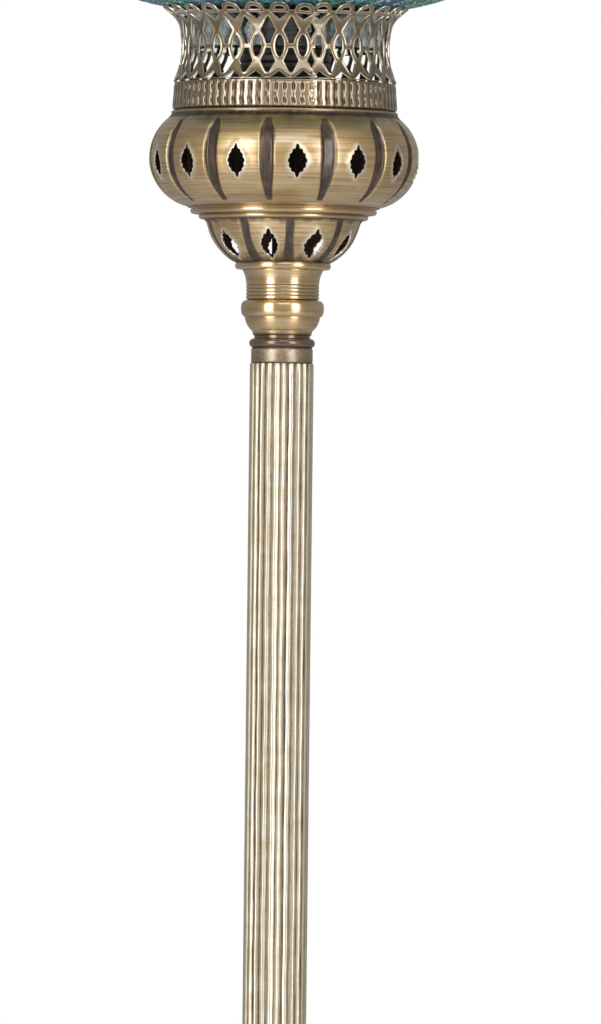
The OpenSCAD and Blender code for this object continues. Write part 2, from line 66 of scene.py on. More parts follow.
def mathNode(tree, operation, a, b):
    node = tree.nodes.new("ShaderNodeMath")
    node.operation = operation
    linkOrSet(tree, node.inputs[0], a)
    linkOrSet(tree, node.inputs[1], b)
    return node.outputs[0]


def mixColor(tree, factor, a, b, blend="MIX"):
    node = tree.nodes.new("ShaderNodeMix")
    node.data_type = "RGBA"
    node.blend_type = blend
    linkOrSet(tree, node.inputs[0], factor)
    linkOrSet(tree, node.inputs[6], a)
    linkOrSet(tree, node.inputs[7], b)
    return node.outputs[2]


def mixShader(tree, factor, a, b):
    node = tree.nodes.new("ShaderNodeMixShader")
    linkOrSet(tree, node.inputs[0], factor)
    linkOrSet(tree, node.inputs[1], a)
    linkOrSet(tree, node.inputs[2], b)
    return node.outputs[0]


# Black to white while a value runs from low to high
def maskBetween(tree, value, low, high):
    ramp = tree.nodes.new("ShaderNodeValToRGB")
    ramp.color_ramp.elements[0].position = low
    ramp.color_ramp.elements[1].position = high
    tree.links.new(value, ramp.inputs["Fac"])
    return ramp.outputs["Color"]


def noiseNode(tree, scale, stretch=(1, 1, 1), detail=4):
    coords = tree.nodes.new("ShaderNodeTexCoord")
    mapping = tree.nodes.new("ShaderNodeMapping")
    mapping.inputs["Scale"].default_value = stretch
    tree.links.new(coords.outputs["Object"], mapping.inputs["Vector"])
    noise = tree.nodes.new("ShaderNodeTexNoise")
    linkOrSet(tree, noise.inputs["Scale"], scale)
    noise.inputs["Detail"].default_value = detail
    tree.links.new(mapping.outputs["Vector"], noise.inputs["Vector"])
    return noise.outputs["Fac"]


def attributeNode(tree, name):
    node = tree.nodes.new("ShaderNodeAttribute")
    node.attribute_name = name
    return node.outputs


def bumpNode(tree, height, shader, strength, distance):
    bump = tree.nodes.new("ShaderNodeBump")
    bump.inputs["Strength"].default_value = strength
    bump.inputs["Distance"].default_value = distance
    tree.links.new(height, bump.inputs["Height"])
    tree.links.new(bump.outputs["Normal"], shader["Normal"])


def newGroup(name, inputs, outputs):
    group = bpy.data.node_groups.new(name, "ShaderNodeTree")
    for way, sockets in (("INPUT", inputs), ("OUTPUT", outputs)):
        for socket in sockets:
            kind = "NodeSocketColor" if "Color" in socket else "NodeSocketFloat"
            group.interface.new_socket(socket, in_out=way, socket_type=kind)
    return group, group.nodes.new("NodeGroupInput").outputs, group.nodes.new("NodeGroupOutput").inputs


def placeGroup(tree, group, values):
    node = tree.nodes.new("ShaderNodeGroup")
    node.node_tree = group
    for name, value in values.items():
        linkOrSet(tree, node.inputs[name], value)
    return node.outputs


# Camera, lights and stage

studio = {
    "floorHalf": 14, "floorGrey": 0.86, "floorRoughness": 0.7, "floorWhite": 0.65,
    "fillColor": (1, 0.99, 0.97), "fillStrength": 0.31,
    "softboxes": [  # name, azimuth, distance, height, width, tallness, watts
        ("softboxLeft", -39, 2.3, 1.42, 0.9, 2.4, 30),
        ("softboxRight", 38, 2.3, 1.42, 0.85, 2.4, 23),
        ("softboxTop", 5, 2.6, 3.1, 1.8, 1.0, 14),
    ],
}
photo = {
    "wide": 601, "tall": 1024, "pixel": 0.44, "sensor": 36, "distance": 6,
    "belowPoleTop": 0.14, "poleTopRow": 361, "axisColumn": 280.1, "lean": 0.0115,
}


# 1 where the camera looks straight or through glass, 0 for light and reflections
def seenDirectly(tree):
    path = tree.nodes.new("ShaderNodeLightPath").outputs
    return mathNode(tree, "MAXIMUM", path["Is Camera Ray"], path["Is Transmission Ray"])


def makeStage():
    bm = bmesh.new()
    bmesh.ops.create_grid(bm, x_segments=1, y_segments=1, size=studio["floorHalf"])
    mesh = bpy.data.meshes.new("floor")
    bm.to_mesh(mesh)
    bm.free()
    floor = bpy.data.objects.new("floor", mesh)
    bpy.context.scene.collection.objects.link(floor)
    mat = bpy.data.materials.new("paleFloor")
    mat.use_nodes = True
    tree = mat.node_tree
    shader = tree.nodes["Principled BSDF"]
    shader.inputs["Base Color"].default_value = (*[studio["floorGrey"]] * 3, 1)
    shader.inputs["Roughness"].default_value = studio["floorRoughness"]
    white = tree.nodes.new("ShaderNodeEmission")
    share = mathNode(tree, "MULTIPLY", seenDirectly(tree), studio["floorWhite"])
    mixed = mixShader(tree, share, shader.outputs[0], white.outputs[0])
    tree.links.new(mixed, tree.nodes["Material Output"].inputs["Surface"])
    mesh.materials.append(mat)


def makeWorld():
    world = bpy.data.worlds.new("studio")
    bpy.context.scene.world = world
    world.use_nodes = True
    tree = world.node_tree
    tree.nodes.clear()
    shades = []
    for color, strength in ((studio["fillColor"], studio["fillStrength"]), ((1, 1, 1), 1)):
        shade = tree.nodes.new("ShaderNodeBackground")
        shade.inputs["Color"].default_value = (*color, 1)
        shade.inputs["Strength"].default_value = strength
        shades.append(shade.outputs[0])
    out = tree.nodes.new("ShaderNodeOutputWorld")
    tree.links.new(mixShader(tree, seenDirectly(tree), *shades), out.inputs["Surface"])


def makeSoftbox(name, azimuth, distance, height, width, tall, watts):
    data = bpy.data.lights.new(name, "AREA")
    data.shape = "RECTANGLE"
    data.size = width
    data.size_y = tall
    data.energy = watts
    light = bpy.data.objects.new(name, data)
    bpy.context.scene.collection.objects.link(light)
    a = math.radians(azimuth)
    light.location = (distance * math.sin(a), -distance * math.cos(a), height)
    aim = Vector((0, 0, poleTop)) - light.location
    light.rotation_euler = aim.to_track_quat("-Z", "Y").to_euler()


def makeCamera():
    pixel = photo["pixel"] * mm
    side = (photo["wide"] / 2 - photo["axisColumn"]) * pixel
    data = bpy.data.cameras.new("camera")
    data.sensor_width = photo["sensor"]
    data.lens = photo["distance"] / pixel / photo["tall"] * photo["sensor"]
    data.clip_end = 100
    camera = bpy.data.objects.new("camera", data)
    bpy.context.scene.collection.objects.link(camera)
    place = Vector((side, -photo["distance"], poleTop - photo["belowPoleTop"]))
    target = Vector((side, 0, poleTop + (photo["poleTopRow"] - photo["tall"] / 2) * pixel))
    turn = (target - place).to_track_quat("-Z", "Y").to_matrix().to_4x4()
    roll = Matrix.Rotation(math.atan(photo["lean"]), 4, "Z")
    camera.matrix_world = Matrix.Translation(place) @ turn @ roll
    bpy.context.scene.camera = camera
    bpy.context.scene.view_settings.view_transform = "Standard"


makeStage()
makeWorld()
for box in studio["softboxes"]:
    makeSoftbox(*box)
makeCamera()
print("stage ready")


# Materials

# Aged metal: fine brushed lines, cloudy tarnish, dark patina and painted shade where a mesh's own value is
# above nought, and worn bright metal and painted highlights where it is below.
def makeAgedMetal():
    tree, given, out = newGroup(
        "agedMetal",
        ["Light Color", "Dark Color", "Patina And Shade Color", "Lines", "Cloud Scale", "Base Roughness"],
        ["Base Color", "Metallic", "Roughness", "Coat Weight", "Height"],
    )
    streak = noiseNode(tree, 1, (26, 26, 1150), 5)
    cloud = noiseNode(tree, given["Cloud Scale"], (1, 1, 2.2), 5)
    grain = noiseNode(tree, 900, detail=2)
    blotch = noiseNode(tree, 260, (1, 1, 0.45))
    lines = mathNode(tree, "MULTIPLY", given["Lines"], 0.65)
    lines = mathNode(tree, "MULTIPLY", maskBetween(tree, streak, 0.42, 0.66), lines)
    clouds = mathNode(tree, "SUBTRACT", 0.65, mathNode(tree, "MULTIPLY", given["Lines"], 0.25))
    clouds = mathNode(tree, "MULTIPLY", maskBetween(tree, cloud, 0.36, 0.66), clouds)
    tarnish = mathNode(tree, "ADD", lines, clouds)
    own = attributeNode(tree, "patinaAndShade")["Fac"]
    wearAndHighlight = mathNode(tree, "MAXIMUM", mathNode(tree, "MULTIPLY", own, -1.0), 0.0)
    broken = mathNode(tree, "SUBTRACT", own, mathNode(tree, "MULTIPLY", grain, 0.25))
    edge = maskBetween(tree, broken, 0.05, 0.7)
    shade = mathNode(tree, "MULTIPLY", maskBetween(tree, blotch, 0.38, 0.64), 0.8)
    # patina colour, which also serves as painted shade, with random blotches
    patinaAndShadeColor = mixColor(tree, 1.0, given["Patina And Shade Color"], mathNode(tree, "ADD", shade, 0.5), "MULTIPLY")
    body = mixColor(tree, tarnish, given["Light Color"], given["Dark Color"])
    # bright bare metal where worn, which also stands as painted highlight on rims, rib tops and the lapped
    # seam
    body = mixColor(tree, wearAndHighlight, body, (0.88, 0.8, 0.64))
    tree.links.new(mixColor(tree, edge, body, patinaAndShadeColor), out["Base Color"])
    tree.links.new(mathNode(tree, "SUBTRACT", 1, mathNode(tree, "MULTIPLY", edge, 0.2)), out["Metallic"])
    gloss = mathNode(tree, "ADD", mathNode(tree, "MULTIPLY", tarnish, 0.12), given["Base Roughness"])
    gloss = mathNode(tree, "ADD", gloss, mathNode(tree, "MULTIPLY", edge, 0.06))
    tree.links.new(gloss, out["Roughness"])
    tree.links.new(mathNode(tree, "SUBTRACT", 1, mathNode(tree, "MULTIPLY", edge, 0.65)), out["Coat Weight"])
    tree.links.new(streak, out["Height"])
    return tree


# Plain finish: a little darker and glossier in patches, with a fine grain
def makePlainFinish():
    tree, given, out = newGroup(
        "plainFinish",
        ["Full Color", "Scale", "Spread", "Base Roughness"],
        ["Base Color", "Roughness", "Height"],
    )
    noise = noiseNode(tree, given["Scale"])
    tone = mathNode(tree, "MULTIPLY", maskBetween(tree, noise, 0.3, 0.75), given["Spread"])
    tone = mathNode(tree, "ADD", tone, mathNode(tree, "SUBTRACT", 1, given["Spread"]))
    tree.links.new(mixColor(tree, 1.0, given["Full Color"], tone, "MULTIPLY"), out["Base Color"])
    gloss = mathNode(tree, "SUBTRACT", given["Base Roughness"], 0.07)
    tree.links.new(mathNode(tree, "ADD", mathNode(tree, "MULTIPLY", noise, 0.14), gloss), out["Roughness"])
    tree.links.new(noise, out["Height"])
    return tree


agedMetal = makeAgedMetal()
plainFinish = makePlainFinish()


def newMaterial(name):
    mat = bpy.data.materials.new(name)
    mat.use_nodes = True
    return mat, mat.node_tree, mat.node_tree.nodes["Principled BSDF"].inputs


def makeBrass(name, light, dark, patinaAndShade, roughness, lines=1.0, coat=0.2, clouds=60, index=2.1, lathe=0):
    mat, tree, shader = newMaterial(name)
    aged = placeGroup(tree, agedMetal, {
        "Light Color": light, "Dark Color": dark, "Patina And Shade Color": patinaAndShade, "Lines": lines,
        "Cloud Scale": clouds, "Base Roughness": roughness,
    })
    for socket in ("Base Color", "Metallic", "Roughness", "Coat Weight"):
        tree.links.new(aged[socket], shader[socket])
    shader["Coat Roughness"].default_value = coat
    shader["Coat IOR"].default_value = index
    if lathe:  # turned metal stretches its highlights up and down
        shader["Anisotropic"].default_value = lathe
        shader["Anisotropic Rotation"].default_value = 0.25
    bumpNode(tree, aged["Height"], shader, 0.35 * lines, 0.00008)
    return mat


def makePlain(name, color, roughness, metallic=0.0, scale=300, depth=0.00005, spread=0.25):
    mat, tree, shader = newMaterial(name)
    finish = placeGroup(tree, plainFinish, {
        "Full Color": color, "Scale": scale, "Spread": spread, "Base Roughness": roughness,
    })
    tree.links.new(finish["Base Color"], shader["Base Color"])
    tree.links.new(finish["Roughness"], shader["Roughness"])
    shader["Metallic"].default_value = metallic
    bumpNode(tree, finish["Height"], shader, 0.4, depth)
    return mat


# Coloured glass pieces: each takes its colour from the mesh, with specks in it.
def makeTileGlass():
    mat, tree, shader = newMaterial("tileGlass")
    speck = noiseNode(tree, 1500, detail=2)
    light = mathNode(tree, "MULTIPLY", maskBetween(tree, speck, 0.35, 0.62), 0.45)
    light = mathNode(tree, "ADD", light, 0.55)
    tint = attributeNode(tree, "tint")["Color"]
    tree.links.new(mixColor(tree, 1.0, tint, light, "MULTIPLY"), shader["Base Color"])
    gloss = mathNode(tree, "ADD", mathNode(tree, "MULTIPLY", speck, 0.12), 0.06)
    tree.links.new(gloss, shader["Roughness"])
    shader["IOR"].default_value = 1.52
    shader["Coat Weight"].default_value = 0.6
    shader["Coat Roughness"].default_value = 0.06
    bumpNode(tree, speck, shader, 0.3, 0.00015)
    return mat


def makeGlass(name, color, roughness):
    mat, tree, shader = newMaterial(name)
    shader["Base Color"].default_value = (*color, 1)
    shader["Metallic"].default_value = 0
    shader["Transmission Weight"].default_value = 1
    shader["IOR"].default_value = 1.48
    seed = noiseNode(tree, 40, detail=0)
    tree.links.new(mathNode(tree, "MULTIPLY", seed, roughness * 2), shader["Roughness"])
    bumpNode(tree, seed, shader, 0.2, 0.0002)
    return mat


spunBrass = makeBrass("spunBrass", (0.71, 0.5, 0.21), (0.33, 0.19, 0.062), (0.1, 0.064, 0.04), 0.42)
turnedBrass = makeBrass(
    "turnedBrass", (0.75, 0.5, 0.19), (0.47, 0.285, 0.092), (0.12, 0.072, 0.036), 0.34,
    lines=0.75, coat=0.13, index=2.5, lathe=0.85,
)
castBrass = makeBrass(
    "castBrass", (0.5, 0.37, 0.21), (0.15, 0.095, 0.046), (0.12, 0.075, 0.04), 0.42,
    lines=0.1, coat=0.3, clouds=700,
)
piercedBrass = makeBrass(
    "piercedBrass", (0.38, 0.275, 0.13), (0.2, 0.13, 0.053), (0.09, 0.052, 0.026), 0.34,
    lines=0.2, coat=0.14,
)
reededBrass = makeBrass(
    "reededBrass", (0.76, 0.69, 0.52), (0.57, 0.45, 0.27), (0.16, 0.103, 0.055), 0.4, lines=0.15,
)
# dark brown for the inner faces of the bowl and dome: painted shade for their dim inside
insideShadeBrown = makePlain("insideShadeBrown", (0.2, 0.125, 0.095), 0.7)
agedSteel = makePlain("agedSteel", (0.06, 0.042, 0.036), 0.55, 0.4, 500)
beadBrown = makePlain("beadBrown", (0.26, 0.178, 0.13), 0.24, 0.75)
ironBlack = makePlain("ironBlack", (0.03, 0.03, 0.032), 0.6, 0.2, 500, 0.0003)
zincSteel = makePlain("zincSteel", (0.55, 0.54, 0.52), 0.35, 1.0)
nickel = makePlain("nickel", (0.66, 0.64, 0.6), 0.25, 1.0)
blackPlastic = makePlain("blackPlastic", (0.045, 0.03, 0.028), 0.35, 0, 700)
blackRubber = makePlain("blackRubber", (0.02, 0.02, 0.02), 0.65, 0, 700)
greenFelt = makePlain("greenFelt", (0.03, 0.045, 0.032), 0.95, 0, 2500, 0.0006)
porcelain = makePlain("porcelain", (0.75, 0.73, 0.68), 0.3, 0, 200)
whiteGrout = makePlain("whiteGrout", (0.62, 0.63, 0.6), 0.8, 0, 1500, 0.0002, 0.4)
solder = makePlain("solder", (0.5, 0.5, 0.5), 0.4, 1.0)
blackGlass = makePlain("blackGlass", (0.01, 0.01, 0.015), 0.15, 0, 60)
filamentYellow = makePlain("filamentYellow", (0.85, 0.5, 0.08), 0.5, 0, 900)
tileGlass = makeTileGlass()
neckGlass = makeGlass("neckGlass", (0.80, 0.86, 0.84), 0.1)
bulbGlass = makeGlass("bulbGlass", (0.97, 0.98, 0.98), 0.01)
print("materials ready")


# Mesh helpers

def onRing(angle, r, z):
    a = math.radians(angle)
    return (r * mm * math.sin(a), -r * mm * math.cos(a), z)


def smoothStep(x):
    x = max(0.0, min(1.0, x))
    return x * x * (3 - 2 * x)


def addPiece(name, shape, material, body, replaces=(), sharp=38):
    mesh = shape
    if isinstance(shape, bmesh.types.BMesh):
        mesh = bpy.data.meshes.new(name)
        shape.to_mesh(mesh)
        shape.free()
    mesh.shade_smooth()
    mesh.set_sharp_from_angle(angle=math.radians(sharp))
    mesh.materials.append(material)
    piece = bpy.data.objects.new(name, mesh)
    bpy.context.scene.collection.objects.link(piece)
    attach(piece, body)
    if replaces:
        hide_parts(*replaces)
    return piece


def addThickness(piece, thickness, bevel=0, segments=2, inner=None):
    solid = piece.modifiers.new("sheet", "SOLIDIFY")
    solid.thickness = thickness * mm
    solid.offset = -1
    if inner:
        piece.data.materials.append(inner)
        solid.material_offset = 1
    if bevel:
        edge = piece.modifiers.new("edge", "BEVEL")
        edge.width = bevel * mm
        edge.segments = segments
        edge.limit_method = "ANGLE"
        edge.angle_limit = math.radians(50)


# Rounds each corner of a closed outline with a short curve.
def soften(points, reach=0.4, steps=3):
    out = []
    for i, p in enumerate(points):
        a = points[i - 1]
        b = points[(i + 1) % len(points)]
        towardsA = min(reach / math.dist(a, p), 0.42)
        towardsB = min(reach / math.dist(b, p), 0.42)
        start = [p[n] + (a[n] - p[n]) * towardsA for n in (0, 1)]
        end = [p[n] + (b[n] - p[n]) * towardsB for n in (0, 1)]
        for k in range(steps + 1):
            t = k / steps
            out.append(tuple(
                (1 - t) ** 2 * start[n] + 2 * t * (1 - t) * p[n] + t * t * end[n] for n in (0, 1)
            ))
    return out


def arc(cx, cz, r, a0, a1, steps=10):
    angles = [math.radians(a0 + (a1 - a0) * k / steps) for k in range(steps + 1)]
    return [(cx + r * math.cos(a), cz + r * math.sin(a)) for a in angles]


# Smooth curve through a few points, each span in the same number of steps.
def throughPoints(points, steps=8):
    out = []
    for i in range(len(points) - 1):
        p0 = points[max(i - 1, 0)]
        p3 = points[min(i + 2, len(points) - 1)]
        for k in range(steps):
            t = k / steps
            out.append(tuple(
                0.5 * (2 * b + (c - a) * t + (2 * a - 5 * b + 4 * c - d) * t * t
                + (3 * b - a - 3 * c + d) * t ** 3)
                for a, b, c, d in zip(p0, points[i], points[i + 1], p3)
            ))
    return out + [points[-1]]


def runningLengths(curve):
    lengths = [0]
    for a, b in zip(curve, curve[1:]):
        lengths.append(lengths[-1] + math.dist(a, b))
    return lengths


# Radius, height and outward direction at a running length along a curve.
def alongCurve(curve, lengths, s):
    s = max(0, min(lengths[-1], s))
    i = max(0, bisect.bisect_left(lengths, s) - 1)
    t = (s - lengths[i]) / (lengths[i + 1] - lengths[i])
    (r, z), (nextR, nextZ) = curve[i], curve[i + 1]
    dr, dz = nextR - r, nextZ - z
    size = math.hypot(dr, dz)
    return r + dr * t, z + dz * t, dz / size, -dr / size


# Spins a profile of radius and height over z0 round the lamp's axis. A profile that isn't closed starts and
# ends on the axis. The given function of r and z darkens the surface with patina and painted shade, or wears
# it bright.
def spun(profile, z0, columns=128, closed=True, patinaAndShade=None):
    bm = bmesh.new()
    layer = bm.verts.layers.float.new("patinaAndShade") if patinaAndShade else None
    line = [bm.verts.new(onRing(0, r, z0 + z * mm)) for r, z in profile]
    edges = [bm.edges.new(pair) for pair in zip(line, line[1:])]
    if closed:
        edges.append(bm.edges.new((line[-1], line[0])))
    bmesh.ops.spin(
        bm, geom=line + edges, cent=(0, 0, 0), axis=(0, 0, 1), angle=math.tau, steps=columns, use_merge=True,
    )
    bmesh.ops.remove_doubles(bm, verts=bm.verts, dist=0.001 * mm)
    bmesh.ops.recalc_face_normals(bm, faces=bm.faces)
    if patinaAndShade:
        for vert in bm.verts:
            vert[layer] = patinaAndShade(vert.co.xy.length / mm, (vert.co.z - z0) / mm)
    return bm


def turnedPiece(
    name, profile, slot, replaces=(), z0=poleTop, material=turnedBrass, body="stand", columns=128, reach=0.35,
    patinaAndShade=None,
):
    bm = spun(soften(profile, reach), z0, columns, patinaAndShade=patinaAndShade)
    return addPiece(name, bm, material, body, replaces)


# Rings extruded one after another; place(column, row) gives each point and its patina and painted shade. When
# closed, the last ring is joined to the first, for a tube's inner wall.
def ringStack(columns, rows, place, closed=False):
    bm = bmesh.new()
    column = bm.verts.layers.int.new("column")
    patinaAndShade = bm.verts.layers.float.new("patinaAndShade")
    verts = bmesh.ops.create_circle(bm, segments=columns, radius=1)["verts"]
    first = edges = bm.edges[:]
    for c, vert in enumerate(verts):
        vert[column] = c
    for row in range(rows):
        if row:
            grown = bmesh.ops.extrude_edge_only(bm, edges=edges)["geom"]
            verts = [g for g in grown if isinstance(g, bmesh.types.BMVert)]
            edges = [g for g in grown if isinstance(g, bmesh.types.BMEdge) and g.is_boundary]
        for vert in verts:
            vert.co, vert[patinaAndShade] = place(vert[column], row)
    if closed:
        bmesh.ops.bridge_loops(bm, edges=first + edges)
    bmesh.ops.recalc_face_normals(bm, faces=bm.faces)
    bm.verts.layers.int.remove(column)
    return bm


# Pole

reededPole = {
    "reeds": 24, "across": 14, "depth": 0.95, "phase": -2.4, "end": 0.35, "waver": 0.7, "rings": 48,
    "lap": 1.2, "wall": 1.45,
}


# Reeded tube: rounded reeds with broad valleys between them, a little uneven along their length.
def makePole(node):
    spec = reededPole
    low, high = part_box(node)
    columns = spec["reeds"] * spec["across"]
    z0 = low.z + spec["lap"] * mm
    z1 = high.z - spec["lap"] * mm
    end = spec["end"] * mm
    middle = [z0 + (z1 - z0) * k / spec["rings"] for k in range(1, spec["rings"])]
    heights = [z0, z0, z0 + end] + middle + [z1 - end, z1, z1]
    last = len(heights) - 1

    def place(column, row):
        angle = spec["phase"] + 360 * column / columns
        if row in (0, last):
            return onRing(angle, poleR - spec["wall"], heights[row]), 0.6
        reed, across = divmod(column, spec["across"])
        valley = abs(2 * across / spec["across"] - 1)
        strong = 0.82 + 0.18 * math.sin(reed * 2.39 + 0.7)
        r = poleR - spec["depth"] * strong * (1 - math.cos(math.pi * valley)) / 2
        if row in (1, last - 1):
            r -= 0.3
        run = (heights[row] - z0) / mm
        shift = spec["waver"] * math.sin(run / 19 + reed * 1.7) * math.sin(run / 7.3 + reed)
        return onRing(angle + shift, r, heights[row]), strong * smoothStep((valley - 0.5) / 0.36)

    bm = ringStack(columns, len(heights), place, True)
    addPiece(node + "_reeds", bm, reededBrass, "stand", [node], 60)


collar = {"tall": 5.7 + reededPole["lap"], "r": poleR - 0.5, "bore": 8}


# Plain collars at the tubes' ends, over the CAD's spigots; even numbers face up.
def makeCollar(number):
    node = f"plug_{number}"
    low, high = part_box(node)
    r, tall, bore = collar["r"], collar["tall"], collar["bore"]
    profile = [
        (bore, 0), (r - 0.3, 0), (r, 0.5), (r, tall - 0.9), (r - 0.35, tall - 0.5), (r - 0.1, tall - 0.25),
        (r - 0.4, tall), (bore, tall),
    ]
    z0 = high.z - tall * mm
    if number % 2:
        profile = [(r, tall - z) for r, z in profile]
        z0 = low.z
    turnedPiece(
        node + "_collar", profile, "turned_brass", [node], z0, castBrass, reach=0.2,
        # darker at both ends: painted shade where the collar meets the bead and the tube
        patinaAndShade=lambda r, z: 0.24 + 0.6 * smoothStep(1 - min(z, tall - z) / 1.1),
    )


bead = {"r": 14.5, "bore": 6, "waistR": 12.3, "seat": 0.05, "waistShade": 0.75}


# Dark ring, at the head and foot with a brass waist towards the cup; the waist is darkened with painted shade.
def makeBead(node, height, waist=None):
    low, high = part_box(node)
    total = (high.z - low.z) / mm
    profile = [(bead["bore"], 0)] + arc(bead["r"] - height / 2, height / 2, height / 2, -90, 90, 12)
    if waist:
        profile += [(bead["waistR"], height + bead["seat"]), (bead["waistR"], total)]
    profile.append((bead["bore"], total))
    if waist == "below":
        profile = [(r, total - z) for r, z in profile]
    piece = turnedPiece(
        node + "_ring", profile, "dark_bead", [node], low.z, beadBrown, reach=0.1,
        patinaAndShade=lambda r, z: bead["waistShade"],
    )
    if waist:
        piece.data.materials.append(turnedBrass)
        for face in piece.data.polygons:
            up = (face.center.z - low.z) / mm
            if (up if waist == "above" else total - up) > height + 0.02:
                face.material_index = 1


for node in ("pole_lower", "pole_middle", "pole_upper"):
    makePole(node)
for number in range(1, 7):
    makeCollar(number)
makeBead("head_bead", 4.0, "above")
makeBead("foot_bead", 4.0, "below")
makeBead("joint_bead_1", 4.2)
makeBead("joint_bead_2", 4.2)
print("pole ready")


# Turned pieces of the head, heights over the pole's top

# Fine lathe grooves round a neck of 16.1 mm
def latheGrooves(heights):
    return [p for z in heights for p in ((16.1, z - 0.38), (15.72, z), (16.1, z + 0.38))]


headTurnings = [
    {
        "name": "head_cup_turned", "slot": "turned_brass", "replaces": ["head_cup"],
        "profile": [(6, 11), (12.4, 11), (12.9, 11.3)] + arc(6.9, 20.4, 9.8, -50, -6)
        + [(16.2, 19.5), (15.4, 19.9), (6, 19.9)],
        "patinaAndShade": lambda r, z: 0.16 + 0.7 * smoothStep((z - 18.6) / 1.1)
        + 0.75 * smoothStep((12.5 - z) / 1.3),
    },
    {
        "name": "head_band_turned", "slot": "turned_brass", "replaces": ["head_band"], "reach": 0.8,
        "profile": [
            (6, 19.1), (16.6, 19.1), (17.5, 19.7), (18.15, 21), (18.3, 22.6), (18.3, 24), (18.0, 25.2),
            (17.2, 26.1), (16.5, 26.5), (6, 26.5),
        ],
    },
    {
        "name": "neck_turned", "slot": "turned_brass", "replaces": ["neck"], "reach": 0.22,
        "profile": [(6, 26.6), (15.2, 26.6), (16.0, 27)] + latheGrooves((28.5, 30.0, 31.6, 33.1))
        + throughPoints([(16.1, 34.0), (16.25, 35.4), (16.6, 37.0), (17.1, 38.4), (17.7, 39.6)], 4)
        + [(17.7, 40), (6, 40)],
        "patinaAndShade": lambda r, z: 0.85 * smoothStep((16.05 - r) / 0.3) * (27.5 < z < 34)
        + 0.8 * smoothStep((27.2 - z) / 0.5),
    },
    {
        "name": "dome_lip", "slot": "spun_brass", "reach": 0.5,
        "profile": [
            (15, 40), (19.4, 40), (20.6, 40.3), (21.1, 41.0), (21.1, 42.0), (20.8, 42.8), (20.6, 43.3),
            (19.6, 43.7), (15, 43.7),
        ],
        "patinaAndShade": lambda r, z: 0.6 * smoothStep((z - 43.0) / 0.5) * (r < 20.7),
    },
    {
        "name": "step_ring_turned", "slot": "turned_brass", "replaces": ["step_ring"], "columns": 160,
        "reach": 0.2,
        "profile": [(31, 62), (35, 62.05)] + arc(36.25, 63.2, 1.15, -80, 60, 8)
        + [(37.6, 64.45), (38.7, 64.6)] + arc(39.8, 65.6, 1.3, -80, 50, 8)
        + [(41.2, 66.85), (42.2, 67.05), (42.3, 67.35), (31, 67.4)],
        # patina in the groove between the beads, painted shade at the foot over the dome, darker at the top
        "patinaAndShade": lambda r, z: 0.1 + 0.7 * smoothStep(1 - abs(z - 64.5) / 0.5) * (37 < r < 39.4)
        + 0.5 * smoothStep((62.6 - z) / 0.5) + 0.4 * smoothStep((z - 66.6) / 0.3),
    },
    {  # rolled edge of the bowl, which the crimped band stands on
        "name": "bowl_rim", "slot": "spun_brass", "material": spunBrass, "columns": 192, "reach": 0.25,
        "profile": [
            (45.8, 109.5), (49.3, 109.6), (49.75, 109.35), (49.9, 108.9), (49.8, 108.3), (50.1, 107.6),
            (51.3, 106.3), (46, 106.3),
        ],
        # darker all over and most at its foot: painted shade under the crimped band
        "patinaAndShade": lambda r, z: 0.45 + 0.4 * smoothStep((108.8 - z) / 0.6),
    },
]
for spec in headTurnings:
    turnedPiece(**spec)
print("turnings ready")


# Pierced sheets

def inside(point, outline):
    x, y = point
    hit = False
    for (xi, yi), (xj, yj) in zip(outline, outline[-1:] + outline[:-1]):
        if (yi > y) != (yj > y) and x < (xj - xi) * (y - yi) / (yj - yi) + xi:
            hit = not hit
    return hit


def sampled(outline, step):
    out = []
    for a, b in zip(outline, outline[1:] + outline[:1]):
        parts = max(1, round(math.dist(a, b) / step))
        out += [(a[0] + (b[0] - a[0]) * k / parts, a[1] + (b[1] - a[1]) * k / parts) for k in range(parts)]
    return out


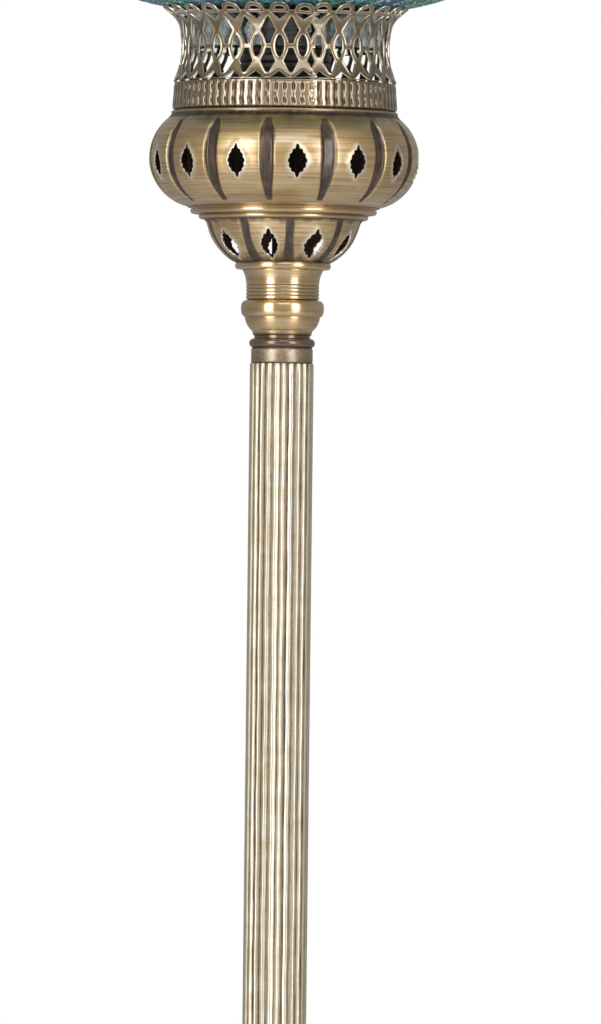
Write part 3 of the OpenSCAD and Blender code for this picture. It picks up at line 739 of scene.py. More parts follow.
# Flat sheet from -half to half and 0 to top, triangulated round its holes, with a line of points beside
# each edge. Its "rim" layer holds each point's distance to the nearest hole.
def piercedSheet(half, top, holes, step, edgeStep, lip, extraU=()):
    across = round(2 * half / step)
    upward = round(top / step)
    even = {round(-half + 2 * half * k / across, 4) for k in range(1, across)}
    columns = [-half] + sorted(even | {round(u, 4) for u in extraU}) + [half]
    rows = [top * k / upward for k in range(upward + 1)]
    loops = [sampled(hole, edgeStep) for hole in holes]
    cells = {}
    for p in (p for loop in loops for p in loop):
        cells.setdefault((round(p[0]), round(p[1])), []).append(p)

    def fromHole(p):
        cx, cy = round(p[0]), round(p[1])
        near = [q for i in range(-2, 3) for j in range(-2, 3) for q in cells.get((cx + i, cy + j), ())]
        return min((math.dist(p, q) for q in near), default=9)

    def solid(p):
        within = abs(p[0]) <= half + 1e-4 and -1e-4 <= p[1] <= top + 1e-4
        return within and not any(inside(p, hole) for hole in holes)

    points = []
    for v in rows:
        for u in columns:
            border = abs(u) == half or v in (0, top)
            if border or (solid((u, v)) and fromHole((u, v)) > max(lip + 0.3 * step, 0.4 * step)):
                points.append((u, v))
    for loop in loops:
        for before, p, after in zip(loop[-1:] + loop[:-1], loop, loop[1:] + loop[:1]):
            size = math.dist(before, after) or 1
            du = (after[1] - before[1]) / size * lip
            dv = (after[0] - before[0]) / size * lip
            for q in ((p[0] + du, p[1] - dv), (p[0] - du, p[1] + dv)):
                clear = half - abs(q[0]) > 0.3 and 0.2 < q[1] < top - 0.2
                if clear and solid(q) and fromHole(q) > 0.8 * lip:
                    points.append(q)
    spot = {p: i for i, p in enumerate(points)}
    edges = []
    for axis, value in ((0, -half), (0, half), (1, 0), (1, top)):
        run = [spot[p] for p in points if p[axis] == value]
        edges += zip(run, run[1:])
    for loop in loops:
        around = range(len(points), len(points) + len(loop))
        points += loop
        edges += zip(around, [*around[1:], around[0]])
    filled = geometry.delaunay_2d_cdt([Vector(p) for p in points], edges, [], 0, 1e-5)
    flat, faces = filled[0], filled[2]
    bm = bmesh.new()
    rim = bm.verts.layers.float.new("rim")
    bm.verts.layers.float.new("patinaAndShade")
    verts = [bm.verts.new((*p, 0)) for p in flat]
    for vert in verts:
        vert[rim] = fromHole(vert.co.xy)
    for face in faces:
        if solid(sum((flat[i] for i in face), Vector((0, 0))) / len(face)):
            bm.faces.new([verts[i] for i in face])
    bmesh.ops.delete(bm, geom=[v for v in verts if not v.link_faces], context="VERTS")
    return bm


# Repeats a flat unit side by side, welds neighbours and wraps them round the lamp's axis, with
# place(angle, u, v, rim) giving each point and its patina, wear and painted light.
def wrapUnits(bm, half, count, first, pitch, place):
    unit = bm.verts[:] + bm.edges[:] + bm.faces[:]
    for k in range(1, count):
        grown = bmesh.ops.duplicate(bm, geom=unit)["geom"]
        verts = [g for g in grown if isinstance(g, bmesh.types.BMVert)]
        bmesh.ops.translate(bm, verts=verts, vec=(2 * half * k, 0, 0))
    bmesh.ops.remove_doubles(bm, verts=bm.verts, dist=0.001)
    rim = bm.verts.layers.float["rim"]
    patinaAndShade = bm.verts.layers.float["patinaAndShade"]
    for vert in bm.verts:
        k = round(vert.co.x / (2 * half))
        u = vert.co.x - 2 * half * k
        angle = first + k * pitch + u / (2 * half) * pitch
        vert.co, vert[patinaAndShade] = place(angle, u, vert.co.y, vert[rim])
    bmesh.ops.remove_doubles(bm, verts=bm.verts, dist=0.001 * mm)
    bm.verts.layers.float.remove(rim)


# Scalloped lozenge cut in the bowl and the dome
def lozenge(cy, halfW, halfH):
    right = [
        (0, 1.03), (0.13, 0.97), (0.2, 0.84), (0.26, 0.72), (0.45, 0.7), (0.58, 0.63), (0.59, 0.52),
        (0.65, 0.46), (0.8, 0.42), (0.88, 0.32), (0.84, 0.22), (0.94, 0.16), (1.04, 0.06), (1.02, -0.06),
        (0.88, -0.15), (0.94, -0.24), (0.93, -0.34), (0.8, -0.42), (0.68, -0.45), (0.7, -0.55),
        (0.6, -0.64), (0.42, -0.67), (0.27, -0.71), (0.22, -0.84), (0.13, -0.97), (0, -1.03),
    ]
    left = [(-x, y) for x, y in reversed(right[1:-1])]
    return [(x * halfW, cy + y * halfH) for x, y in right + left]


# Eases from one angle's shift to the next, for the small unevenness of hand-set punching.
def unevenness(angle, shifts):
    angle = (angle - shifts[0][0]) % 360 + shifts[0][0]
    run = shifts + [(shifts[0][0] + 360, shifts[0][1])]
    for (a, x), (b, y) in zip(run, run[1:]):
        if a <= angle <= b:
            return x + (y - x) * smoothStep((angle - a) / (b - a))
    return 0


# Depth and darkness of the pressed upright grooves at a distance from one's centre line. They start
# narrow, widen upwards and close to a point again below their top.
def grooveAt(across, v, low, high, wide, narrow, depth):
    if not low <= v <= high:
        return 0, 0
    half = narrow + (wide - narrow) * smoothStep((v - low) / (high - low) * 2.2)
    fromTop = high - v
    half *= 0.4 + 0.6 * smoothStep(fromTop / 8)
    ends = smoothStep((v - low) / 3 + 0.1) * smoothStep(fromTop / 8 + 0.1)
    press = smoothStep((half + 0.9 - across) / 2) * ends
    dark = smoothStep((half + 0.75 - across) / 1.35) * smoothStep((v - low) / 1.2 + 0.2)
    return depth * press, dark * smoothStep(fromTop / 2.2)


bowlShell = {
    "name": "bowl_shell", "replaces": ["bowl"], "profile": arc(37.15, 89.1, 22.25, -77, 67, 20), "wall": 0.8,
    "count": 14, "first": 5.5, "unitR": 59.4, "step": 1.3, "lozenge": (26.7, 4.0, 7.5),
    "groove": (4.6, 49.2, 3.0, 1.6, 1.15), "crease": 0.8, "fade": 13,
    "shifts": [
        (-100, 0), (-72, 1.5), (-45, 0), (-33, 0), (-20, -0.6), (-7.4, -0.2), (5.9, 0.25), (18.4, 1.1),
        (31.3, 2.1), (44, 1.6), (57, 0.3), (80, 0),
    ],
}
domeShell = {
    "name": "dome_shell", "replaces": ["pierced_dome"], "wall": 0.7,
    "profile": arc(7.54, 66.4, 26.94, -59.3, -17.7, 8) + [(33.7, 59.8), (34.2, 61.0), (35.2, 61.9)],
    "count": 9, "first": -11.5, "unitR": 30, "step": 1.0, "lozenge": (10.3, 4.35, 8.1),
    "groove": (-3.0, 36.0, 1.75, 3.6, 0.3), "crease": 8, "fade": 3.5,
    "shifts": [
        (-51.5, -2.4), (-31.5, 1), (-11.5, 0), (8.5, -3.6), (28.5, -0.6), (48.5, -0.6), (68.5, -4.2),
        (108.5, -7), (148.5, -5), (188.5, -3.2), (228.5, -6),
    ],
}


# Bowl or dome: a pierced shell with raised lips round its holes and pressed grooves between them
def makePiercedShell(spec):
    curve = throughPoints(spec["profile"], 10)
    lengths = runningLengths(curve)
    top = lengths[-1]
    half = math.pi * spec["unitR"] / spec["count"]
    near = [half - d for d in (0.5, 1.0, 1.5, 2.0, 2.4, 2.8, 3.2, 3.6, 4.2)]
    hole = lozenge(*spec["lozenge"])
    bm = piercedSheet(half, top, [hole], spec["step"], 0.45, 0.45, near + [-u for u in near])

    def place(angle, u, v, rim):
        r, z, nr, nz = alongCurve(curve, lengths, v)
        press, dark = grooveAt(half - abs(u), v, *spec["groove"])
        lift = 0.22 * smoothStep(1 - rim / 1.6) - press
        smear = 0.75 + 0.45 * math.sin(angle * 0.21 + 1) * math.sin(angle * 0.083 + 2)
        smear += 0.2 * math.sin(angle * 0.71)
        # darker towards both ends: patina, and painted shade under the step ring and the crimped band
        crease = smoothStep(1.15 - v / (spec["crease"] * smear))
        crease += smoothStep(1.15 - (top - v) / (spec["fade"] * smear))
        # hole rims lighter: worn metal and painted highlight
        wearAndHighlight = 1.1 * smoothStep(1 - rim / 0.6) + 0.4 * smoothStep(1 - rim / 2.2)
        angle += unevenness(angle, spec["shifts"])
        return onRing(angle, r + nr * lift, poleTop + (z + nz * lift) * mm), max(dark, 0.75 * crease) - wearAndHighlight

    wrapUnits(bm, half, spec["count"], spec["first"], 360 / spec["count"], place)
    piece = addPiece(spec["name"], bm, spunBrass, "stand", spec["replaces"], 50)
    # inner faces take the dark brown painted shade
    addThickness(piece, spec["wall"], 0.2, inner=insideShadeBrown)


makePiercedShell(bowlShell)
makePiercedShell(domeShell)
print("shells ready")


# Gallery: one pierced strip wound round the head, its end lapped over its start at the front right

lace = {
    "units": 29, "pitch": 12.536, "first": 18.4, "unitR": 48, "wall": 0.6,
    "profile": [
        (49.0, 122.4), (48.0, 125.0), (47.1, 127.6), (46.2, 131), (45.7, 135), (45.65, 139), (46.05, 143),
        (46.8, 146.9), (47.75, 149.2), (49.0, 150.8), (50.9, 152.5), (52.6, 154.0), (54.0, 155.2),
    ],
    "vesica": (2.25, 14.8, 5.15),  # half width, middle, half height
    "middleHoles": [
        [(-4.1, 30.2), (-3.0, 29.0), (-1.6, 27.7), (0, 26.4), (1.6, 27.7), (3.0, 29.0), (4.1, 30.2)],
        [(-4.7, 0.25), (4.7, 0.25), (3.3, 1.2), (1.7, 2.3), (0, 3.8), (-1.7, 2.3), (-3.3, 1.2)],
        [(-2.4, 31.6), (2.4, 31.6), (2.2, 32.8), (1.4, 33.9), (0, 34.5), (-1.4, 33.9), (-2.2, 32.8)],
    ],
    "sideHoles": [  # right halves, mirrored round the line between two units
        [
            (0, 28.2), (0.6, 27.5), (1.4, 26.1), (2.6, 23.8), (3.75, 21.7), (3.0, 20.2), (2.0, 18.3),
            (1.35, 16.4), (1.15, 15.7),
        ],
        [(0, 2.5), (0.95, 3.0), (1.6, 4.3), (2.5, 6.1), (3.5, 8.0), (2.75, 9.9), (1.85, 11.8), (1.25, 13.9)],
    ],
    "loop": (3.9, 31.4, 5.1),  # half width, foot, height
}


def makeLace():
    spec = lace
    curve = throughPoints(spec["profile"])
    lengths = runningLengths(curve)
    top = lengths[-1]
    half = math.radians(spec["pitch"]) * spec["unitR"] / 2
    wide, middle, tall = spec["vesica"]
    turns = [math.radians(15 * k) for k in range(24)]
    vesica = [(wide * math.cos(t) * abs(math.cos(t)) ** 0.25, middle + tall * math.sin(t)) for t in turns]
    loopWide, foot, rise = spec["loop"]
    quarter = [math.radians(a) for a in range(0, 91, 15)]
    loop = [(half - loopWide * math.cos(a), foot + rise * math.sin(a)) for a in quarter]
    gap = loop + [(half, 40), (-half, 40)] + [(-x, y) for x, y in reversed(loop)]
    holes = [vesica] + spec["middleHoles"]
    for side in (-half, half):
        for shape in spec["sideHoles"]:
            mirrored = [(-x, y) for x, y in reversed(shape) if x > 0]
            holes.append([(side + x, y) for x, y in shape + mirrored])
        holes.append([(side + x, y) for x, y in gap])
    bm = piercedSheet(half, top, holes, 0.95, 0.5, 0.42)
    last = spec["first"] + (spec["units"] - 0.5) * spec["pitch"]

    def place(angle, u, v, rim):
        r, z, nr, nz = alongCurve(curve, lengths, v)
        fromEnd = last - angle
        fromStart = angle - spec["first"] + 0.5 * spec["pitch"]
        nearEnd = smoothStep(1 - fromEnd / 2.2)
        lift = 1.15 * smoothStep(1 - fromEnd / 14) + 0.2 * smoothStep(1 - rim / 0.42)
        lift += 0.45 * nearEnd * (0.6 + 0.4 * math.sin(v * 1.7))
        rag = nearEnd * (1.0 * math.sin(v * 1.9) + 0.7 * math.sin(v * 4.3 + 1))
        rag += 0.5 * smoothStep(1 - fromStart / 2.2) * math.sin(v * 2.6)
        # hole rims and the lapped end lighter: worn metal and painted highlight
        wearAndHighlight = 1.15 * smoothStep(1 - rim / 0.6) + 1.5 * smoothStep(1 - fromEnd / 2.4)
        dull = 0.46 + 0.25 * smoothStep(1 - v / 1.5)
        return onRing(angle + rag, r + nr * lift, poleTop + (z + nz * lift) * mm), max(-0.9, dull - wearAndHighlight)

    wrapUnits(bm, half, spec["units"], spec["first"], spec["pitch"], place)
    piece = addPiece("gallery_lace", bm, piercedBrass, "stand", ["gallery"], 50)
    addThickness(piece, spec["wall"], 0.12)


crimpBand = {
    "crimps": 80, "across": 12, "low": 109.9, "tall": 12.1, "start": 12.8, "end": 374.6, "r": 49.0,
    "dimples": [(9.2, 3.2), (2.9, 2.4)],  # each row's middle and half height
}


def makeCrimpBand():
    spec = crimpBand
    start, end, tall = spec["start"], spec["end"], spec["tall"]
    columns = round(spec["crimps"] * spec["across"] * (end - start) / 360)
    rows = [0, 0.35, 0.8] + [1.3 + 0.53 * k for k in range(19)] + [tall - 0.7, tall - 0.35, tall]
    bm = bmesh.new()
    patinaAndShade = bm.verts.layers.float.new("patinaAndShade")
    bmesh.ops.create_grid(bm, x_segments=columns, y_segments=len(rows) - 1, size=1)
    for vert in bm.verts:
        v = rows[round((vert.co.y + 1) / 2 * (len(rows) - 1))]
        angle = start + (end - start) * round((vert.co.x + 1) / 2 * columns) / columns
        edge = smoothStep(v / 0.9) * smoothStep((tall - v - 0.5) / 1.6)
        upper, lower = [smoothStep(1 - abs(v - middle) / reach) for middle, reach in spec["dimples"]]
        hook = 0.9 * lower * (v - 2.9) / 2.4
        across = abs(((angle + hook) * spec["crimps"] / 360) % 1 * 2 - 1)
        valley = smoothStep((across - 0.42) / 0.55)
        r = spec["r"] + 0.5 * smoothStep((9 - v) / 8) * edge - 0.35 * (1 - edge)
        r -= 0.12 * across * across * edge + 0.16 * edge * valley + 0.6 * valley * max(upper, lower)
        nearEnd = smoothStep(1 - (end - angle) / 2.5)
        r += smoothStep(1 - (end - angle) / 12) + 0.4 * nearEnd * (0.6 + 0.4 * math.sin(v * 2.9))
        rag = nearEnd * (0.7 * math.sin(v * 2.3) + 0.45 * math.sin(v * 5.1 + 2))
        # painted shade along the foot, where the band stands on the rim
        seat = 0.6 * smoothStep(1 - v / 0.7)
        # lapped end lighter: worn metal and painted highlight
        wearAndHighlight = 1.4 * smoothStep(1 - (end - angle) / 2.4)
        shade = smoothStep((across - 0.4) / 0.35) * max(0.3 * edge, upper, lower)
        # painted highlight along the rib tops
        paintedHighlight = 0.5 * smoothStep(1 - across / 0.6) * edge
        vert.co = onRing(angle + rag, r, poleTop + (spec["low"] + v) * mm)
        vert[patinaAndShade] = min(1, 0.25 + 0.9 * shade + seat) - wearAndHighlight - paintedHighlight
    piece = addPiece("gallery_crimps", bm, piercedBrass, "stand", (), 50)
    addThickness(piece, 0.9, 0.15, 1)


makeLace()
makeCrimpBand()
print("gallery ready")


# Globe, heights over its belt's middle

beltLow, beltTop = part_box("belt_field")
globeZ = (beltLow.z + beltTop.z) / 2
globe = {
    "r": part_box("belt_diamonds")[1].x / mm, "high": (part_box("rosette")[1].z - globeZ) / mm, "low": 92,
    "lowPower": 2.8, "highPower": 2.2, "mosaic": 1.3, "glass": (2.2, 5.2), "grout": (1.35, 2.15),
    "neckLow": (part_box("globe_neck")[0].z - globeZ) / mm, "beltHalf": (beltTop.z - globeZ) / mm,
}


# Radius and height; t runs 0 at the lowest point, 90 at the belt, 180 at the top.
def globeOutline(t, inset=0.0):
    if t <= 90:
        a, power, tall = math.radians(t), globe["lowPower"], inset - globe["low"]
    else:
        a, power, tall = math.radians(180 - t), globe["highPower"], globe["high"] - inset
    return (globe["r"] - inset) * max(0, math.sin(a)) ** (2 / power), tall * math.cos(a) ** (2 / power)


outerCurve = [globeOutline(0.01 + 179.98 * k / 360, globe["mosaic"]) for k in range(361)]
outerLengths = runningLengths(outerCurve)


def lengthAtHeight(z):
    return next(s for (r, h), s in zip(outerCurve, outerLengths) if h >= z)


def lengthAtRadius(radius, top=False):
    pairs = list(zip(outerCurve, outerLengths))
    return next(s for (r, h), s in (pairs[::-1] if top else pairs) if r >= radius)


def makeGlobeGlass():
    walls = []
    for inset, bottom in zip(globe["glass"], (47, 44)):
        wall = [globeOutline(4 * k, inset) for k in range(3, 45)] + [(0, globe["high"] - inset)]
        walls.append([p for p in wall if p[0] > bottom or p[1] > 0])
    outer, inner = walls
    neckTop = outer[0][1]
    neck = arc(42, globe["neckLow"] + 1.5, 1.5, 180, 360)
    neck += [(43.5, neckTop - 3), (44.2, neckTop - 1.2), (45.6, neckTop - 0.3)]
    bore = [(44, neckTop + 3.6), (41.6, neckTop + 2.4), (40.6, neckTop + 0.2)]
    bm = spun(inner[::-1] + bore + neck + outer, globeZ, closed=False)
    replaced = ["globe_neck", "globe_glass", "globe_crown"]
    addPiece("globe_glass_blown", bm, neckGlass, "globe", replaced, 60)


def makeGrout():
    walls = []
    for inset in globe["grout"]:
        wall = [globeOutline(3 * k, inset) for k in range(3, 60)]
        walls.append([p for p in wall if p[0] > 45.6 or p[1] > 0] + [(0, globe["high"] - inset)])
    bm = spun(walls[1][::-1] + walls[0], globeZ, 144, False)
    addPiece("grout_skin", bm, whiteGrout, "globe", ["grout"], 60)


tints = {
    "teal": [(0.012, 0.22, 0.23), (0.02, 0.33, 0.33), (0.006, 0.13, 0.16), (0.10, 0.48, 0.44)],
    "blue": [(0.008, 0.09, 0.30), (0.015, 0.16, 0.42), (0.005, 0.05, 0.18), (0.05, 0.30, 0.48)],
    "green": [(0.01, 0.16, 0.07), (0.02, 0.26, 0.12), (0.005, 0.08, 0.05), (0.05, 0.33, 0.20)],
    "pearl": [(0.45, 0.62, 0.58), (0.35, 0.55, 0.52), (0.6, 0.7, 0.66)],
    "aqua": [(0.06, 0.42, 0.42), (0.10, 0.52, 0.5), (0.03, 0.32, 0.34)],
}


# One bead: a six-sided button that narrows upwards, as points and faces to be copied
def makeBeadShape():
    rings = ((1.0, 0.0), (0.94, 0.45), (0.55, 0.9))

    def place(column, row):
        size, lift = rings[row]
        t = column * math.pi / 3
        return (size * math.cos(t), size * math.sin(t), lift), 0

    bm = ringStack(6, len(rings), place)
    bmesh.ops.edgeloop_fill(bm, edges=[e for e in bm.edges if e.is_boundary and e.verts[0].co.z > 0.5])
    bmesh.ops.recalc_face_normals(bm, faces=bm.faces)
    points = [tuple(vert.co) for vert in bm.verts]
    faces = [[vert.index for vert in face.verts] for face in bm.faces]
    bm.free()
    return points, faces


beadPoints, beadFaces = makeBeadShape()


# Small glass beads set in rows along the globe's outline; pick(angle, s) names each bead's colour or None.
class BeadField:
    def __init__(self, size):
        self.size = size
        self.verts = []
        self.faces = []
        self.colors = []

    def add(self, angle, s, color, scale=1.0):
        r, h, nr, nz = alongCurve(outerCurve, outerLengths, s)
        a = math.radians(angle)
        out = Vector((nr * math.sin(a), -nr * math.cos(a), nz))
        side = Vector((math.cos(a), math.sin(a), 0))
        up = out.cross(side)
        tilt = Vector((random.uniform(-1, 1), random.uniform(-1, 1), random.uniform(-1, 1))) * 0.16
        out = (out + tilt).normalized()
        centre = Vector(onRing(angle, r, globeZ + h * mm))
        radius = self.size * 0.56 * scale * mm
        turn = random.uniform(0, 1) * math.pi / 3
        height = min(1.25, 0.62 * self.size) * random.uniform(0.8, 1.0) * mm
        across = (side * math.cos(turn) + up * math.sin(turn)) * radius
        along = (up * math.cos(turn) - side * math.sin(turn)) * radius
        base = len(self.verts)
        self.verts += [centre + across * x + along * y + out * height * z for x, y, z in beadPoints]
        self.faces += [[base + i for i in face] for face in beadFaces]
        shade = random.choice(tints[color])
        gain = random.uniform(0.75, 1.25)
        self.colors += [*(min(1, c * gain) for c in shade), 1] * len(beadPoints)

    def fill(self, s0, s1, pick):
        rows = max(1, int((s1 - s0) / (self.size * 0.88)))
        for i in range(rows + 1):
            s = s0 + (s1 - s0) * i / rows
            r = alongCurve(outerCurve, outerLengths, s)[0]
            count = max(6, int(2 * math.pi * r / self.size))
            for c in range(count):
                angle = 360 * (c + 0.5 * (i % 2)) / count
                angle += random.uniform(-0.12, 0.12) * 57.3 * self.size / r
                color = pick(angle % 360, s)
                if color:
                    self.add(angle, s + random.uniform(-0.12, 0.12) * self.size, color)

    def ring(self, s, color, step):
        r = alongCurve(outerCurve, outerLengths, s)[0]
        count = int(2 * math.pi * r / step)
        for c in range(count):
            self.add(360 * c / count, s, color)

    def finish(self, name, slot, replaces=()):
        mesh = bpy.data.meshes.new(name)
        mesh.from_pydata(self.verts, [], self.faces)
        mesh.attributes.new("tint", "FLOAT_COLOR", "POINT").data.foreach_set("color", self.colors)
        addPiece(name, mesh, tileGlass, "globe", replaces, 75)


gores = {
    "count": 24, "first": -6.5, "colors": ("teal", "blue", "green"), "bead": 2.3, "line": 1.25,
    "odd": 0.09, "oddColors": ("aqua", "pearl", "teal", "blue", "green"), "foot": 52.6, "rosette": 29.2,
    "band": (46, 51.8), "bandColors": ("teal", "blue", "green", "teal", "aqua"),
}


def makeGores():
    pitch = 360 / gores["count"]
    beltGap = globe["beltHalf"] + 1.2
    spans = {
        "low": (lengthAtRadius(gores["foot"]), lengthAtHeight(-beltGap)),
        "high": (lengthAtHeight(beltGap), lengthAtRadius(gores["rosette"], True)),
    }
    for index, color in enumerate(gores["colors"]):
        for part, (s0, s1) in spans.items():
            field = BeadField(gores["bead"])

            def pick(angle, s):
                turn = ((angle - gores["first"]) / pitch + 0.5) % gores["count"]
                gore, across = int(turn), turn % 1
                r = alongCurve(outerCurve, outerLengths, s)[0]
                line = gores["line"] / (math.radians(pitch) * r)
                if gore % 3 != index or across < line or across > 1 - line:
                    return None
                if random.random() < gores["odd"]:
                    return random.choice(gores["oddColors"])
                return color

            field.fill(s0 + 1.2, s1 - 1.2, pick)
            nodes = [f"gores_{color}"] if part == "low" else []
            field.finish(f"gores_{color}_{part}", f"{color}_glass", nodes)
    lines = BeadField(2.1)
    for s0, s1 in spans.values():
        count = int((s1 - s0) / lines.size)
        for gore in range(gores["count"]):
            angle = gores["first"] + (gore + 0.5) * pitch
            for k in range(count):
                lines.add(angle, s0 + (s1 - s0) * (k + 0.5) / count, "pearl", 0.92)
    lines.finish("gore_lines", "bead_glass")
    band = BeadField(2.0)
    low, high = [lengthAtRadius(r) for r in gores["band"]]
    band.fill(low, high, lambda angle, s: random.choice(gores["bandColors"]))
    band.finish("bead_band_beads", "bead_glass", ["bead_band"])


def newTiles():
    bm = bmesh.new()
    bm.verts.layers.float_color.new("tint")
    return bm


# A cut piece's own tint, and the share of its height that it stands
def drawTile(color):
    shade = random.choice(tints[color])
    gain = random.uniform(0.8, 1.2)
    return (*(min(1, c * gain) for c in shade), 1), random.uniform(0.88, 1.0)


# Cut glass piece, a bevelled prism over an outline of angle and running length, modelled flat
def addTile(bm, outline, color, height=1.25, inset=0.22):
    layer = bm.verts.layers.float_color["tint"]
    tint, share = drawTile(color)
    lift = height * share
    face = bm.faces.new([bm.verts.new((a, s, -0.05 * lift)) for a, s in outline])
    for vert in face.verts:
        vert[layer] = tint
    fromMiddle = Matrix.Translation(-sum((Vector((*p, 0)) for p in outline), Vector()) / len(outline))
    for rise, size in ((0.67, 1), (0.38, 1 - inset)):
        face = bmesh.ops.extrude_discrete_faces(bm, faces=[face])["faces"][0]
        bmesh.ops.translate(bm, verts=face.verts, vec=(0, 0, rise * lift))
        bmesh.ops.scale(bm, verts=face.verts, vec=(size, size, 1), space=fromMiddle)


# Wraps the flat tiles on the globe
def finishTiles(bm, name, replaces):
    for vert in bm.verts:
        angle, s, lift = vert.co
        r, h, nr, nz = alongCurve(outerCurve, outerLengths, s)
        vert.co = onRing(angle, r + nr * lift, globeZ + (h + nz * lift) * mm)
    addPiece(name, bm, tileGlass, "globe", replaces, 30)


belt = {"diamonds": 12, "cells": 8, "gap": 0.09, "margin": 1.2, "rings": ("teal", "aqua", "blue", "pearl")}


def makeBelt():
    count, cells, gap = belt["diamonds"], belt["cells"], belt["gap"]
    beltHalf = globe["beltHalf"]
    halfU = (globe["r"] * math.sin(math.pi / count) - belt["margin"]) / globe["r"] * 57.3
    halfS = beltHalf - 2
    middle = lengthAtHeight(0)
    outerTiles = newTiles()
    heartTiles = newTiles()
    for n in range(count):
        for i in range(cells):
            for j in range(cells):
                corners = []
                for di, dj in ((gap, gap), (1 - gap, gap), (1 - gap, 1 - gap), (gap, 1 - gap)):
                    p = (i + di) / cells * 2 - 1
                    q = (j + dj) / cells * 2 - 1
                    corners.append((n * 360 / count + (p - q) / 2 * halfU, middle + (p + q) / 2 * halfS))
                ring = min(i, j, cells - 1 - i, cells - 1 - j)
                addTile(heartTiles if ring >= 2 else outerTiles, corners, belt["rings"][ring])
    finishTiles(outerTiles, "belt_diamond_tiles", ["belt_diamonds"])
    finishTiles(heartTiles, "belt_heart_tiles", ["belt_hearts"])
    field = BeadField(2.4)

    def pick(angle, s):
        turn = (angle / (360 / count) + 0.5) % 1 - 0.5
        edge = abs(turn * 360 / count) / halfU + abs(s - middle) / halfS - 1
        if edge < 0.05:
            return None
        if edge < 0.12:
            return "aqua"
        if random.random() < 0.08:
            return random.choice(("aqua", "blue", "teal"))
        return "green"

    field.fill(middle - beltHalf + 1.4, middle + beltHalf - 1.4, pick)
    field.finish("belt_field_beads", "green_glass", ["belt_field"])
    rims = BeadField(2.4)
    for s in (middle - beltHalf - 0.6, middle + beltHalf + 0.6):
        rims.ring(s, "pearl", 2.5)
    rims.finish("belt_rims", "bead_glass")


rosette = {
    "petals": 8, "petalWide": 42, "gap": 0.9, "rims": (8.4, 28.9),
    "rings": [(9.4, 14.4, "aqua"), (15.2, 21.2, "blue"), (22, 27.6, "teal")],
    "knob": [(7.4, 1.9), (6.6, 1.4), (4.6, 0.75), (2.2, 0.25), (0, 0.1)],  # radius, depth below the top
}


def makeRosette():
    tiles = newTiles()
    for k in range(rosette["petals"]):
        left = (k + 0.5) * 360 / rosette["petals"] - rosette["petalWide"] / 2
        for i, (r0, r1, color) in enumerate(rosette["rings"]):
            s0, s1 = lengthAtRadius(r0, True), lengthAtRadius(r1, True)
            width = rosette["petalWide"] / (i + 1)
            for p in range(i + 1):
                a0 = left + p * width + rosette["gap"]
                a1 = a0 + width - 2 * rosette["gap"]
                mid = (a0 + a1) / 2
                outline = [(a0, s1), (mid, s1), (a1, s1), (a1, s0), (mid, s0), (a0, s0)]
                addTile(tiles, outline, color, 1.2, 0.16)
    finishTiles(tiles, "rosette_tiles", ["rosette"])
    top = globe["high"]
    profile = [(0, top - 2.2), (7.2, top - 2.2)] + [(r, top - depth) for r, depth in rosette["knob"]]
    bm = spun(profile, globeZ, 48, False)
    layer = bm.verts.layers.float_color.new("tint")
    drawTile("blue")  # keeps the rims' random draws in their order
    for vert in bm.verts:
        vert[layer] = (*tints["blue"][1], 1)
    addPiece("rosette_centre", bm, tileGlass, "globe", (), 60)
    rims = BeadField(2.2)
    for r in rosette["rims"]:
        rims.ring(lengthAtRadius(r, True), "pearl", 2.3)
    rims.finish("rosette_rims", "bead_glass")


makeGlobeGlass()
makeGrout()
makeGores()
makeBelt()
makeRosette()
print("globe ready")


# Base and foot

spunBase = {
    "grooves": 14, "perGroove": 28, "first": 5.5, "shoulder": 66, "wall": 1.2,
    "groove": (9, 54, 2.9, 1.7, 1.1),
}


